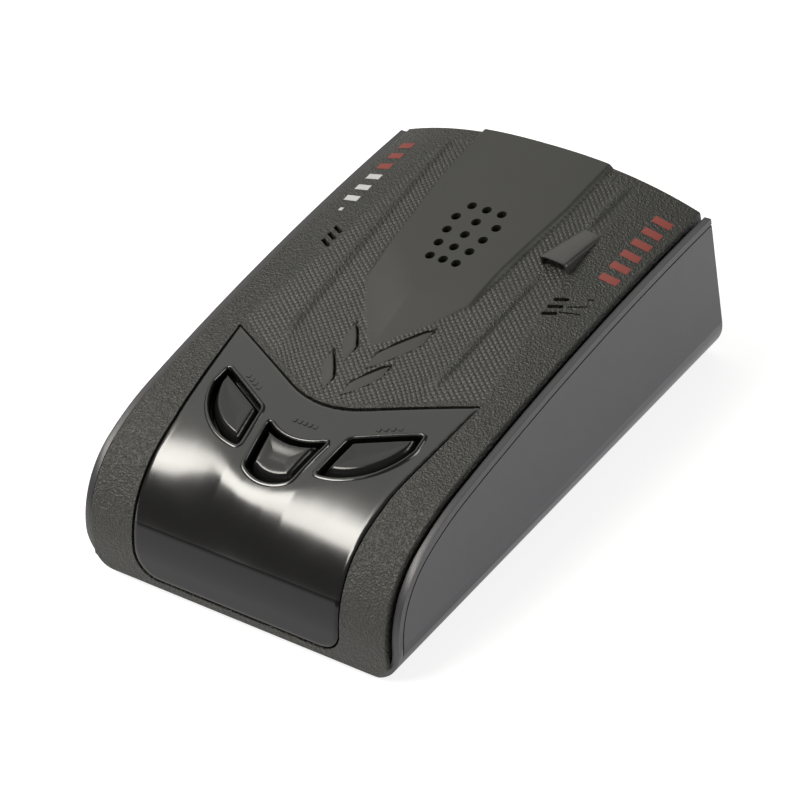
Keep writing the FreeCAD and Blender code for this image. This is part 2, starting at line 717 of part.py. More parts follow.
def screw(x, y, head_low, head_r, head_t, shank_r, shank_top):
    """Upward screw with its head below and a cross recess in the head."""
    head = rod(head_r, x, y, head_low, head_low + head_t)
    shank = rod(shank_r, x, y, head_low + head_t, shank_top)
    solid = fused([head, shank])
    for turn in (0, 90):
        blade = box(-head_r * 0.6, head_r * 0.6, -0.3, 0.3, head_low - 1, head_low + head_t * 0.6)
        blade.rotate(V(0, 0, 0), V(0, 0, 1), turn)
        blade.translate(V(x, y, 0))
        solid = solid.cut(blade)
    return solid


def case_screws():
    return [screw(x, y, 1.2, 2.6, 1.4, 1.05, 12.0) for x, y in case_screw_places()]


def board_screws():
    """Pan heads on top of the main board, shanks down into the case bosses."""
    top = MAIN_BOARD_Z + BOARD_T
    out = []
    for x, y in board_screw_places():
        upward = screw(x, y, -top - 1.3, 2.2, 1.3, 1.0, -2.6)
        out.append(upward.mirror(V(0, 0, 0), V(0, 0, 1)))
    return out


# ---------------------------------------------------------------- write every sub-part
def one_solid(shape):
    return shape.Solids[0] if len(shape.Solids) == 1 else Part.makeCompound(shape.Solids)


def build():
    block = cover_block()
    nodes = {
        "lower_case": lower_case(),
        "top_cover": top_cover(block),
        "control_fascia": control_fascia(block),
        "display_window": display_window(block),
        "sensor_scoop": sensor_scoop(),
        "scoop_lens": scoop_lens(),
        "rear_sensor_lens": rear_sensor_lens(),
        "front_photodiode": photodiode(12.0, REAR - 6.4, 19.0, 1),
        "scoop_photodiode": photodiode(SCOOP_X, SCOOP_FRONT + 8.0, 28.0, -1),
        "main_board": main_board(),
        "horn_antenna": horn_antenna(),
        "horn_lid": horn_lid(),
        "horn_lid_screws": Part.makeCompound(horn_lid_screws()),
        "mixer_board": mixer_board(),
        "shield_can": shield_can(),
        "board_chips": Part.makeCompound(board_chips()),
        "capacitors": Part.makeCompound(capacitors()),
        "display_board": display_board(),
        "display_module": display_module(),
        "display_segments": Part.makeCompound(display_segments()),
        "ribbon_cable": ribbon_cable(),
        "button_board": button_board(),
        "button_board_stand": Part.makeCompound(button_board_stand()),
        "switch_bodies": Part.makeCompound(switch_bodies()),
        "speaker_frame": speaker_frame(),
        "speaker_magnet": speaker_magnet(),
        "speaker_cone": speaker_cone(),
        "speaker_gasket": speaker_gasket(),
        "power_jack": power_jack(),
        "rubber_feet": Part.makeCompound(rubber_feet()),
        "rating_plate": rating_plate(),
        "case_screws": Part.makeCompound(case_screws()),
        "board_screws": Part.makeCompound(board_screws()),
    }
    for name in BUTTON_SIDES:
        nodes["button_" + name] = button_cap(name)
        nodes["switch_plunger_" + name] = switch_plunger(name)
    return nodes


os.makedirs("parts", exist_ok=True)
for node, shape in build().items():
    solid = one_solid(shape)
    solid.exportStep("parts/" + node + ".step")
    b = solid.BoundBox
    print(
        f"{node:22s} solids {len(solid.Solids)} valid {solid.isValid()} volume {solid.Volume:9.1f}"
        f"  x {b.XMin:6.1f} {b.XMax:6.1f}  y {b.YMin:6.1f} {b.YMax:6.1f}  z {b.ZMin:6.1f} {b.ZMax:6.1f}"
    )
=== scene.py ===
"""Looks for the dashboard radar detector: finish meshes, materials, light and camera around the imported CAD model.

Dimensions are in millimetres until a mesh is written. +X is right, +Y is towards the rear, +Z is up.
"""
import json
import math

import bmesh
import bpy
import numpy as np
from mathutils import Matrix, Vector


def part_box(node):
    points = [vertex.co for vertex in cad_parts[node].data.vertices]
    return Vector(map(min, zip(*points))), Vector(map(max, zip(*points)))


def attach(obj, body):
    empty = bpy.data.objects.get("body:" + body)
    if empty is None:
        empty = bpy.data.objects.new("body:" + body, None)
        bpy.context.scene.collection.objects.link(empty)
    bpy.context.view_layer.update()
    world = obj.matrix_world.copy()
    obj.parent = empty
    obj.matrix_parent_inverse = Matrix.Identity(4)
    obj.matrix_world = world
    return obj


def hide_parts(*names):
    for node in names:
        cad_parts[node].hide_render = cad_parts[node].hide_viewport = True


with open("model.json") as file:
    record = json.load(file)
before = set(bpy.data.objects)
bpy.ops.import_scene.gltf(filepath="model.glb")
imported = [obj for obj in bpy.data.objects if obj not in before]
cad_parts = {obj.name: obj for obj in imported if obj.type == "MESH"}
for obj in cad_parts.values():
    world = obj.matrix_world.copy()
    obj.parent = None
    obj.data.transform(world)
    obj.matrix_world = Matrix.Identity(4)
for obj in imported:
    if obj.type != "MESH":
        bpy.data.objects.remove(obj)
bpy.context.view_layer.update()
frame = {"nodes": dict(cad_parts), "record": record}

MM = 0.001

# ---------------------------------------------------------------- dimensions of the case
COVER_LO, COVER_HI = (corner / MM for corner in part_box("top_cover"))
REAR = (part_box("lower_case")[1] / MM).y
LENGTH = 109.0
NOSE = REAR - LENGTH
CASE_BOTTOM = 0.2
COVER_HALF_W = COVER_HI.x
COVER_REAR = COVER_HI.y
COVER_BOTTOM = COVER_LO.z
RIM_REAR_Z = 33.0
PROUD = 1.0
CROWN = 5.5
ARCH_POWER = 2.4
BACK_R, SHOULDER_R, NOSE_R = 533.0, 54.0, 19.0
NOSE_RAKE = math.radians(6.0)
SHOULDER_END = 26.0
APRON_Z = 29.3
SKIN_T = 2.0
SKIRT = 4.6
EDGE_R = 0.25
COVER_CORNER_R = 4.2
CREASE_Z = 14.3
WINDOW_BOTTOM_Z = 3.3
LENS_GAP = 0.15
CREASE_GAP = 0.04
BUTTON_TILT = math.radians(12.0)
BUTTON_Y = NOSE + 25.0

# ---------------------------------------------------------------- dimensions of the cover's details
# distances along the cover are measured behind the nose
FASCIA_APEX_Y = 31.0
FASCIA_CORNER = (28.6, 44.2)
FASCIA_SIDE = ((27.2, 32.0), (25.6, 20.0), (24.8, 8.0))
FASCIA_FOOT_X = 24.5
FASCIA_BEND_X = 9.0
HOOD_TIP_Y, HOOD_FRONT_Y = 48.5, 64.8
HOOD_EDGE = ([HOOD_TIP_Y, 57.0, HOOD_FRONT_Y, 80.0, 94.0, 109.0], [0.0, 7.2, 12.2, 13.6, 15.1, 15.4])
HOOD_LIFT = ([64.0, 80.0, 109.0], [1.1, 1.0, 0.8])
RIDGE = ([40.0, 51.6, 77.0, 104.0, 109.0], [17.2, 18.4, 19.7, 21.2, 21.5])
RIDGE_H = 0.45
RIDGE_GAP = (72.0, 92.0)
KNURL_EDGE = ([40, 46, 75, 106], [30.5, 29.5, 25.8, 24.0])
KNURL_X, KNURL_S = 1.5, 1.15
KNURL_H = 0.28
KNURL_STEPS = 6
GRID_HOOD, GRID_RIDGE = 13.0, 19.5
# rear edge at the centre line, slope, start, end, width
SCALES = ((44.5, 1.3, 2.5, 9.4, 4.7), (37.0, 1.3, 2.0, 6.9, 3.8))
SHORT_ARM = 6.3
SLIT_DEPTH = 0.45
SPEAKER_ROWS = ((74.0, 3.1), (77.7, 3.7), (81.4, 4.3), (85.2, 4.8), (88.9, 3.55))
HOLE_R = 1.0
HOLE_SHIFT_X, HOLE_SHIFT_Y = 0.5, -1.5
VENT_X, VENT_Y, VENT_PITCH = 25.4, 69.1, 2.05
VENT_LENGTH, VENT_HALF_W = 3.0, 0.45
VENT_ANGLE = math.radians(27)
GROOVES = (((28.9, 72.8), (32.0, 74.7)), ((28.1, 70.9), (31.9, 72.3)), ((31.1, 76.3), (32.1, 76.9)))
SCOOP_FRONT_Y, SCOOP_TAIL_Y = 80.0, 91.6
SCOOP_X, SCOOP_HALF_W, SCOOP_H = 21.05, 3.05, 2.15
BUTTON_FIT = 0.42
SLOPE_FRONT, SLOPE_REAR = 1.9, 0.9
CAP_FOOT, CAP_RISE, CAP_DISH = -2.0, 2.35, 0.16
FLANGE_TOP, FLANGE_BOTTOM, STEM_BOTTOM = -2.9, -5.3, -7.9
FLANGE_REACH, STEM_R = 0.5, 1.6
SWITCH_PLACES = {"left": (-15.5, 1.5), "centre": (0.0, -4.2), "right": (15.5, 1.5)}


# ---------------------------------------------------------------- the cover's surface
def side_profile(step=0.2):
    """Rows of (y, z, outward y, outward z) along the case lip, from below the nose to the rear."""
    nose_y = NOSE + PROUD
    back = np.array((REAR, RIM_REAR_Z - BACK_R))
    back_angle = math.asin((LENGTH - SHOULDER_END) / BACK_R)

    def on(centre, radius, angle):
        return np.array((centre[0] - radius * math.sin(angle), centre[1] + radius * math.cos(angle)))

    join = on(back, BACK_R, back_angle)
    shoulder = join + SHOULDER_R * np.array((math.sin(back_angle), -math.cos(back_angle)))
    dy, dz = math.sin(NOSE_RAKE), math.cos(NOSE_RAKE)
    ay = nose_y + NOSE_R * dz - shoulder[0]
    az = CASE_BOTTOM - NOSE_R * dy - shoulder[1]
    along = ay * dy + az * dz
    up = -along + math.sqrt(along**2 + (SHOULDER_R - NOSE_R) ** 2 - ay**2 - az**2)
    nose = np.array((shoulder[0] + ay + up * dy, shoulder[1] + az + up * dz))
    nose_angle = math.asin((shoulder[0] - nose[0]) / (SHOULDER_R - NOSE_R))
    end_angle = math.pi / 2 - NOSE_RAKE
    top_of_line = on(nose, NOSE_R, end_angle)[1] - CASE_BOTTOM
    rows = []
    for height in np.arange(-2.0, top_of_line, step):
        rows.append((nose_y + height * math.tan(NOSE_RAKE), CASE_BOTTOM + height, -dz, dy))
    for centre, radius, start, end in (
        (nose, NOSE_R, end_angle, nose_angle),
        (shoulder, SHOULDER_R, nose_angle, back_angle),
        (back, BACK_R, back_angle, 0.0),
    ):
        for angle in np.linspace(start, end, max(3, int(radius * (start - end) / step)))[:-1]:
            y, z = on(centre, radius, angle)
            rows.append((y, z, -math.sin(angle), math.cos(angle)))
    rows.append((REAR, RIM_REAR_Z, 0.0, 1.0))
    return np.array(rows)


PROFILE = side_profile()
RUN = np.concatenate([[0.0], np.cumsum(np.hypot(*np.diff(PROFILE[:, :2], axis=0).T))])


def crown_at(x, y):
    t = np.clip((y - NOSE) / LENGTH, 0.0, 1.0)
    return CROWN * t * t * (1 - np.abs(np.clip(x / COVER_HALF_W, -1, 1)) ** ARCH_POWER)


def skin(x, s, depth=0.0):
    """A point on the cover at x, a distance s along the profile, sunk by depth."""
    x, s = np.broadcast_arrays(np.asarray(x, float), np.asarray(s, float))
    y, z, ny, nz = (np.interp(s, RUN, PROFILE[:, k]) for k in range(4))
    out = PROUD + crown_at(x, y) - depth
    return np.stack([x, y + ny * out, z + nz * out], axis=-1)


def run_at(x, y=None, z=None):
    """The distance along the profile at which the cover, at x, reaches a y or a z."""
    line = skin(x, RUN)
    return float(np.interp(y, line[:, 1], RUN) if z is None else np.interp(z, line[:, 2], RUN))


def densify(points, step=0.25, closed=True):
    points = np.asarray(points, float)
    ends = np.roll(points, -1, axis=0) if closed else points[1:]
    starts = points if closed else points[:-1]
    out = []
    for a, b in zip(starts, ends):
        n = max(1, int(np.hypot(*(b - a)) / step))
        out.extend(a + (b - a) * i / n for i in range(n))
    if not closed:
        out.append(points[-1])
    return np.array(out)


def soften(points, radius, steps=6):
    """Rounds every corner of a closed outline with a quadratic curve."""
    points = np.asarray(points, float)
    out = []
    for before, here, after in zip(np.roll(points, 1, 0), points, np.roll(points, -1, 0)):
        r1 = min(radius, 0.45 * np.hypot(*(before - here)))
        r2 = min(radius, 0.45 * np.hypot(*(after - here)))
        a = here + (before - here) / np.hypot(*(before - here)) * r1
        b = here + (after - here) / np.hypot(*(after - here)) * r2
        for i in range(steps + 1):
            t = i / steps
            out.append((1 - t) ** 2 * a + 2 * t * (1 - t) * here + t * t * b)
    return np.array(out)


def inside(px, py, outline):
    hit = np.zeros(px.shape, bool)
    for (x0, y0), (x1, y1) in zip(outline, np.roll(outline, -1, axis=0)):
        if y0 == y1:
            continue
        crosses = (y0 > py) != (y1 > py)
        hit ^= crosses & (px < (x1 - x0) * (py - y0) / (y1 - y0) + x0)
    return hit


def nearest(points, outlines):
    """The closest point to each given point on any of the closed outlines, and its distance."""
    best = np.full(len(points), 1e9)
    spot = points.copy()
    for outline in outlines:
        a = outline
        d = np.roll(outline, -1, axis=0) - a
        length = np.maximum((d**2).sum(1), 1e-12)
        for start in range(0, len(points), 2000):
            block = points[start:start + 2000]
            t = ((block[:, None] - a[None]) * d[None]).sum(2) / length
            foot = a[None] + np.clip(t, 0, 1)[..., None] * d[None]
            gap = ((block[:, None] - foot) ** 2).sum(2)
            pick = gap.argmin(1)
            rows = np.arange(len(block))
            closer = gap[rows, pick] < best[start:start + 2000]
            best[start:start + 2000][closer] = gap[rows, pick][closer]
            spot[start:start + 2000][closer] = foot[rows, pick][closer]
    return spot, np.sqrt(best)


def smooth(t):
    t = np.clip(t, 0, 1)
    return t * t * (3 - 2 * t)


# ---------------------------------------------------------------- meshes
def new_object(name, mesh):
    obj = bpy.data.objects.new(name, mesh)
    bpy.context.scene.collection.objects.link(obj)
    return obj


def mesh_from(name, points, faces, sharp=40.0):
    mesh = bpy.data.meshes.new(name)
    mesh.from_pydata([tuple(p) for p in np.asarray(points) * MM], [], faces)
    mesh.validate()
    work = bmesh.new()
    work.from_mesh(mesh)
    bmesh.ops.recalc_face_normals(work, faces=work.faces)
    work.to_mesh(mesh)
    work.free()
    for face in mesh.polygons:
        face.use_smooth = True
    mesh.set_sharp_from_angle(angle=math.radians(sharp))
    return new_object(name, mesh)


def shell(name, xs, ss, region, holes, outer_at, inner_at, snap=0.3, tint=None):
    """A closed shell over the grid of xs and ss, trimmed to a region with holes in it.

    outer_at and inner_at turn rows of (x, s) into points; tint gives a value kept on each vertex.
    """
    gx, gs = np.meshgrid(xs, ss)
    flat = np.stack([gx.ravel(), gs.ravel()], axis=1)
    rows, cols = gx.shape
    cx = (gx[:-1, :-1] + gx[1:, 1:]) / 2
    cs = (gs[:-1, :-1] + gs[1:, 1:]) / 2
    keep = inside(cx, cs, region)
    for hole in holes:
        lo, hi = hole.min(0), hole.max(0)
        near = (cx > lo[0]) & (cx < hi[0]) & (cs > lo[1]) & (cs < hi[1])
        keep[near] &= ~inside(cx[near], cs[near], hole)
    corner = np.arange(rows * cols).reshape(rows, cols)
    quads = np.stack(
        [corner[:-1, :-1][keep], corner[:-1, 1:][keep], corner[1:, 1:][keep], corner[1:, :-1][keep]], axis=1
    )
    edges = np.concatenate([quads[:, [0, 1]], quads[:, [1, 2]], quads[:, [2, 3]], quads[:, [3, 0]]])
    keys = np.sort(edges, axis=1)
    _, first, count = np.unique(keys, axis=0, return_index=True, return_counts=True)
    rim = edges[first[count == 1]]
    rim_points = np.unique(rim)
    spot, gap = nearest(flat[rim_points], [region] + list(holes))
    close = gap < snap
    flat[rim_points[close]] = spot[close]
    used, packed = np.unique(quads, return_inverse=True)
    quads = packed.reshape(quads.shape)
    where = np.full(rows * cols, -1)
    where[used] = np.arange(len(used))
    rim = where[rim]
    coords = flat[used]
    n = len(used)
    points = np.concatenate([outer_at(coords), inner_at(coords)])
    faces = quads.tolist() + (quads[:, ::-1] + n).tolist()
    faces += [[b, a, a + n, b + n] for a, b in rim.tolist()]
    obj = mesh_from(name, points, faces)
    if tint is not None:
        layer = obj.data.attributes.new("grain", "FLOAT", "POINT")
        layer.data.foreach_set("value", np.tile(tint(coords), 2).astype(np.float32))
    return obj


def sweep(name, section, stations, sharp=35.0):
    """A closed section carried along stations; each station turns (u, v) into a point."""
    k = len(section)
    points = [station(u, v) for station in stations for u, v in section]
    faces = []
    for i in range(len(stations) - 1):
        for j in range(k):
            a, b = i * k + j, i * k + (j + 1) % k
            faces.append([a, b, b + k, a + k])
    faces.append(list(range(k))[::-1])
    last = (len(stations) - 1) * k
    faces.append([last + j for j in range(k)])
    return mesh_from(name, points, faces, sharp)


# ---------------------------------------------------------------- outlines on the cover
def fascia_region(grow, bottom, corner):
    """The two sides and the apex of the fascia and window together, down to a bottom edge on the nose."""
    right = [(FASCIA_CORNER[0] + grow * 0.6, FASCIA_CORNER[1] + grow)]
    right += [(x + grow, y) for x, y in FASCIA_SIDE]
    side_foot = FASCIA_FOOT_X + grow
    out = [(x, run_at(x, y=NOSE + y)) for x, y in right]
    out.append((side_foot, run_at(side_foot, z=bottom + corner)))
    for i in range(1, 7):
        a = math.radians(15 * i)
        out.append((side_foot - corner + corner * math.cos(a), run_at(20, z=bottom + corner - corner * math.sin(a))))
    left = [(-x, s) for x, s in out[::-1]]
    apex = (0, run_at(0, y=NOSE + FASCIA_APEX_Y + grow * 1.1))
    return out, left, apex


def closed_fascia(grow, bottom, corner):
    """The closed outline of the fascia and window, with the apex of the V eased."""
    out, left, apex = fascia_region(grow, bottom, corner)
    rise = (FASCIA_CORNER[1] - FASCIA_APEX_Y) * FASCIA_BEND_X / FASCIA_CORNER[0]
    arm_r = (FASCIA_BEND_X, run_at(FASCIA_BEND_X, y=NOSE + FASCIA_APEX_Y + rise + grow * 1.1))
    arm_l = (-FASCIA_BEND_X, arm_r[1])
    bend = [arm_l]
    for i in range(1, 8):
        t = i / 8
        x = -FASCIA_BEND_X + 2 * FASCIA_BEND_X * t
        s = (1 - t) ** 2 * arm_l[1] + 2 * t * (1 - t) * apex[1] + t * t * arm_r[1]
        bend.append((x, s))
    bend.append(arm_r)
    return densify(np.array(bend + out + left), 0.4)


OPENING = closed_fascia(LENS_GAP + 0.15, WINDOW_BOTTOM_Z - LENS_GAP, 5.0 + LENS_GAP)
PANEL = closed_fascia(-LENS_GAP, WINDOW_BOTTOM_Z + LENS_GAP, 5.0 - LENS_GAP)


def above_crease(outline, z, keep_above):
    """Cuts an outline on the cover at the height of the crease."""
    limit = run_at(0, z=z)
    out = outline.copy()
    out[:, 1] = np.maximum(out[:, 1], limit) if keep_above else np.minimum(out[:, 1], limit)
    keep = [True] * len(out)
    for i in range(len(out)):
        if np.allclose(out[i], out[i - 1]):
            keep[i] = False
    return out[keep]


# ---------------------------------------------------------------- top cover
def hood_edges(y):
    """Half width of the smooth raised centre at a distance y behind the nose."""
    return np.interp(y, *HOOD_EDGE)


def band(distance, half, blur):
    """1 within half of a line, falling to 0 over blur."""
    return 1 - smooth((np.abs(distance) - half) / blur)


def behind_nose(s):
    """Distance behind the nose at a distance s along the profile."""
    return np.interp(s, RUN, PROFILE[:, 0]) - NOSE


def grid_knots(s):
    """Half widths at s that the grid's hood and ridge columns are carried to."""
    y = behind_nose(s)
    hood = hood_edges(np.maximum(y, HOOD_FRONT_Y))
    ridge = np.interp(y, *RIDGE)
    return hood, ridge


def from_grid(g, s):
    """x of a grid column at s; the columns follow the hood's edge and the ridge."""
    hood, ridge = grid_knots(s)
    a = np.abs(g)
    inner = a * hood / GRID_HOOD
    middle = hood + (a - GRID_HOOD) * (ridge - hood) / (GRID_RIDGE - GRID_HOOD)
    outer = ridge + (a - GRID_RIDGE) * (X_FLAT - ridge) / (X_FLAT - GRID_RIDGE)
    x = np.where(a < GRID_HOOD, inner, np.where(a < GRID_RIDGE, middle, outer))
    return np.sign(g) * np.where(a > X_FLAT, a, x)


def to_grid(outline):
    """An outline of (x, s) rows on the cover, moved onto the grid's own columns."""
    x, s = outline[:, 0], outline[:, 1]
    hood, ridge = grid_knots(s)
    a = np.abs(x)
    inner = a * GRID_HOOD / hood
    middle = GRID_HOOD + (a - hood) * (GRID_RIDGE - GRID_HOOD) / (ridge - hood)
    outer = GRID_RIDGE + (a - ridge) * (X_FLAT - GRID_RIDGE) / (X_FLAT - ridge)
    g = np.where(a < hood, inner, np.where(a < ridge, middle, outer))
    return np.stack([np.sign(x) * np.where(a > X_FLAT, a, g), s], axis=1)


def slit_depth(x, y):
    """The narrow cut behind each scale of the two V bands."""
    out = np.zeros_like(x)
    for rear, slope, start, end, _ in SCALES:
        last = np.where(x < 0, np.minimum(end, SHORT_ARM), end)
        behind = (y - rear - slope * np.abs(x)) / math.hypot(1, slope)
        ends = smooth((np.abs(x) - start + 0.4) / 0.4) * smooth((last + 0.4 - np.abs(x)) / 0.4)
        out = np.maximum(out, band(behind - 0.12, 0.3, 0.25) * ends)
    return out


def cover_masks(x, y):
    """Where the smooth raised centre, the ridges and the knurl are, each from 0 to 1."""
    half = hood_edges(y)
    hood = np.where(y < HOOD_TIP_Y, 0.0, smooth((half - np.abs(x)) / 0.8 + 0.5) * smooth((y - 48.0) / 1.5))
    ridge_x = np.interp(y, *RIDGE)
    ridge = band(np.abs(x) - ridge_x, 0.35, 0.6) * smooth((y - 44) / 3) * smooth((106.5 - y) / 3)
    outer = np.interp(y, *KNURL_EDGE)
    field = smooth((outer - np.abs(x)) / 2.5) * smooth((106.0 - y) / 1.5)
    front = 32.3 + (FASCIA_CORNER[1] - FASCIA_APEX_Y) / FASCIA_CORNER[0] * np.sqrt(x**2 + 9.0)
    field = field * smooth((y - front) / 0.5)
    return hood, ridge, field * (1 - hood) * (1 - ridge)


def hood_height(x, y):
    """The raised centre: a long ramp in front and a step along each side."""
    half = hood_edges(y)
    side = smooth((half - np.abs(x)) / 1.1 + 0.5)
    lift = np.interp(y, *HOOD_LIFT)
    rise = smooth((y - HOOD_TIP_Y - np.abs(x) * 0.95) / 16.0)
    return lift * side * rise * (y > 48)


def cover_height(g, x, y, s):
    """How far the cover's relief stands above its plain surface; g is the grid's own column."""
    _, _, knurl = cover_masks(x, y)
    height = hood_height(x, y)
    away = np.abs(x) - np.interp(y, *RIDGE)
    crest = np.where(away < 0, 1 - smooth(-away / 1.9), 1 - smooth(away / 0.9))
    gap = 1 - smooth((y - RIDGE_GAP[0]) / 5) * (1 - smooth((y - RIDGE_GAP[1]) / 3)) * (x > 0)
    height = height + RIDGE_H * gap * crest * smooth((y - 43) / 6) * smooth((107 - y) / 5)
    u = (g / KNURL_X) % 1.0
    v = (s / KNURL_S) % 1.0
    u, v = np.minimum(u, 1 - u) * 2, np.minimum(v, 1 - v) * 2
    apart = np.minimum(np.hypot(u, v), np.hypot(1 - u, 1 - v))
    pits = 1 - smooth((apart - 0.12) / 0.5)
    return height - KNURL_H * knurl * pits - SLIT_DEPTH * slit_depth(x, y)


def cover_point(coords, inner=False):
    """Outer or inner surface of the cover, with its rounded side edge, skirt and rear wall."""
    grid, s = coords[:, 0], coords[:, 1]
    across = from_grid(grid, s)
    side = np.sign(across)
    a = np.clip((np.abs(across) - X_FLAT) / EDGE_R, 0, math.pi / 2)
    skirt = np.clip(np.abs(across) - X_FLAT - EDGE_R * math.pi / 2, 0, None)
    x = np.minimum(np.abs(across), X_FLAT) + EDGE_R * np.sin(a)
    sink = EDGE_R * (1 - np.cos(a)) + skirt
    b = np.clip((s - S_FLAT) / EDGE_R, 0, math.pi / 2)
    wall = np.clip((s - S_FLAT - EDGE_R * math.pi / 2) / WALL_RUN, 0, 1)
    on = np.minimum(s, S_FLAT)
    if inner:
        deep = SKIN_T + np.clip(sink - EDGE_R, 0, None) * (SKIRT - SKIN_T) / (SKIRT - EDGE_R)
        p = skin(side * np.minimum(x, COVER_HALF_W - SKIN_T), on, deep)
        top = p[:, 2]
        p[:, 1] = np.where(s > S_FLAT, COVER_REAR - SKIN_T, np.minimum(p[:, 1], COVER_REAR - SKIN_T))
    else:
        y = behind_nose(s)
        fade = np.clip(1 - a * 2, 0, 1)
        relief = cover_height(grid, side * x, y, s) * fade * smooth((S_FLAT + EDGE_R - s) / 0.8)
        rear_relief = cover_height(grid, side * x, np.full_like(y, LENGTH - 0.4), s)
        relief = np.where(s > S_FLAT - 0.5, rear_relief * fade, relief)
        p = skin(side * x, on, sink - relief)
        top = p[:, 2] - EDGE_R * (1 - np.cos(b))
        p[:, 1] += EDGE_R * np.sin(b)
    p[:, 2] = np.where(s > S_FLAT, top + (APRON_Z - top) * wall, p[:, 2])
    return p


X_FLAT = COVER_HALF_W - EDGE_R
S_FLAT = run_at(0, y=COVER_REAR - EDGE_R)
WALL_RUN = 10.0
X_END = X_FLAT + EDGE_R * math.pi / 2
S_END = S_FLAT + EDGE_R * math.pi / 2 + WALL_RUN


def ring(cx, cs, radius, n=28):
    turns = [2 * math.pi * i / n for i in range(n)]
    return np.array([(cx + radius * math.cos(a), cs + radius * math.sin(a)) for a in turns])


def speaker_holes():
    out = []
    for y, spread in SPEAKER_ROWS:
        s = run_at(0, y=NOSE + y + HOLE_SHIFT_Y)
        out += [ring(sx * spread + HOLE_SHIFT_X, s, HOLE_R) for sx in (-1, 0, 1)]
    return out


def vent_slots():
    out = []
    along = np.array((math.cos(VENT_ANGLE), math.sin(VENT_ANGLE)))
    over = np.array((-along[1], along[0])) * VENT_HALF_W
    for side in (-1, 1):
        for i in range(3):
            a = np.array((VENT_X, run_at(VENT_X, y=NOSE + VENT_Y + VENT_PITCH * i)))
            b = a + along * VENT_LENGTH
            corners = [a - over, b - over, b + over, a + over]
            out.append(densify(soften([(side * px, ps) for px, ps in corners], 0.25), 0.2))
    return out


def top_cover():
    step = KNURL_X / KNURL_STEPS
    half = np.arange(0, X_FLAT, step)
    half = half[half < X_FLAT - 0.15]
    arc = X_FLAT + EDGE_R * np.array([0, 0.4, 0.8, 1.2])
    skirt = np.array([X_END, X_END + 1.5, X_END + 3.0, X_END + SKIRT - EDGE_R])
    right = np.concatenate([half, arc, skirt])
    xs = np.concatenate([-right[:0:-1], right])
    start = KNURL_S * math.floor(run_at(0, z=COVER_BOTTOM) / KNURL_S)
    ss = np.arange(start, S_FLAT - 0.15, KNURL_S / KNURL_STEPS)
    rear = S_FLAT + EDGE_R * np.array([0, 0.4, 0.8, 1.2, math.pi / 2])
    wall = S_FLAT + EDGE_R * math.pi / 2 + np.linspace(0, WALL_RUN, 5)[1:]
    ss = np.concatenate([ss, rear, wall])
    radius, foot = COVER_CORNER_R, COVER_BOTTOM
    x_out = skirt[-1]
    low_s = run_at(X_FLAT, z=foot + radius * (1 - math.sin(math.radians(27))))
    outline = [(x_out, low_s), (x_out, S_FLAT), (X_END, S_FLAT), (X_END, S_END)]
    corner = []
    for degrees in range(90, 25, -10):
        a = math.radians(degrees)
        s = run_at(28, z=foot + radius - radius * math.sin(a))
        corner.append((X_FLAT + EDGE_R - radius + radius * math.cos(a), s))
    right_side = corner + [(COVER_HALF_W - 0.02, low_s)] + outline
    region = np.array(right_side + [(-x, s) for x, s in right_side[::-1]])
    region = to_grid(densify(region, 0.5))
    holes = [to_grid(hole) for hole in [OPENING] + speaker_holes() + vent_slots()]

    def grain(coords):
        hood, _, knurl = cover_masks(from_grid(coords[:, 0], coords[:, 1]), behind_nose(coords[:, 1]))
        return np.where(knurl > 0.3, 0.35, 1.0) * (1 - hood)

    return shell("cover_shell", xs, ss, region, holes, cover_point,
                 lambda c: cover_point(c, inner=True), snap=0.34, tint=grain)


def on_cover(x, y, lift=0.0):
    """A point at x, a distance y behind the nose, lifted off the cover's plain surface."""
    return skin(x, run_at(x, y=NOSE + y), -lift)


def scale(name, side, rear, slope, start, end, width):
    """One raised wedge of a V band: flush at its front, standing up at its rear edge."""
    section = [(-0.02, -0.5), (0.0, 0.02), (0.3, 0.05), (0.6, 0.1),
               (0.85, 0.16), (0.96, 0.18), (1.0, 0.14), (1.0, -0.5)]
    stations = []
    for x in np.concatenate([[start, start + 0.12, start + 0.4], np.linspace(start + 0.8, end - 0.8, 12),
                             [end - 0.4, end - 0.12, end]]):
        edge = min(x - start, end - x)
        tall = 0.35 + 0.65 * float(smooth(edge / 0.8))
        inset = 0.14 * width * (1 - float(np.clip(edge / 1.4, 0, 1)))

        def station(u, v, x=x, tall=tall, inset=inset):
            y = rear + slope * x - 0.5 * inset - (width - 1.5 * inset) * (1 - u)
            return on_cover(side * x, y, v * tall if v > 0 else v)

        stations.append(station)
    return sweep(name, section, stations, 30)


def slit_shadow_strip(name, side, rear, slope, start, end, wide):
    """Painted shadow in the gap behind a scale: a flat black strip laid on the cover, standing in for the shade
    there.
    """
    section = [(0, -0.4), (0, 0.05), (1, 0.05), (1, -0.4)]
    stations = [lambda u, v, x=x: on_cover(side * x, rear + slope * x + u * wide * taper(x, start, end), v)
                for x in np.linspace(start, end, 16)]
    return sweep(name, section, stations, 30)


def taper(x, start, end):
    return 0.25 + 0.75 * float(smooth(min(x - start, end - x) / 1.2))


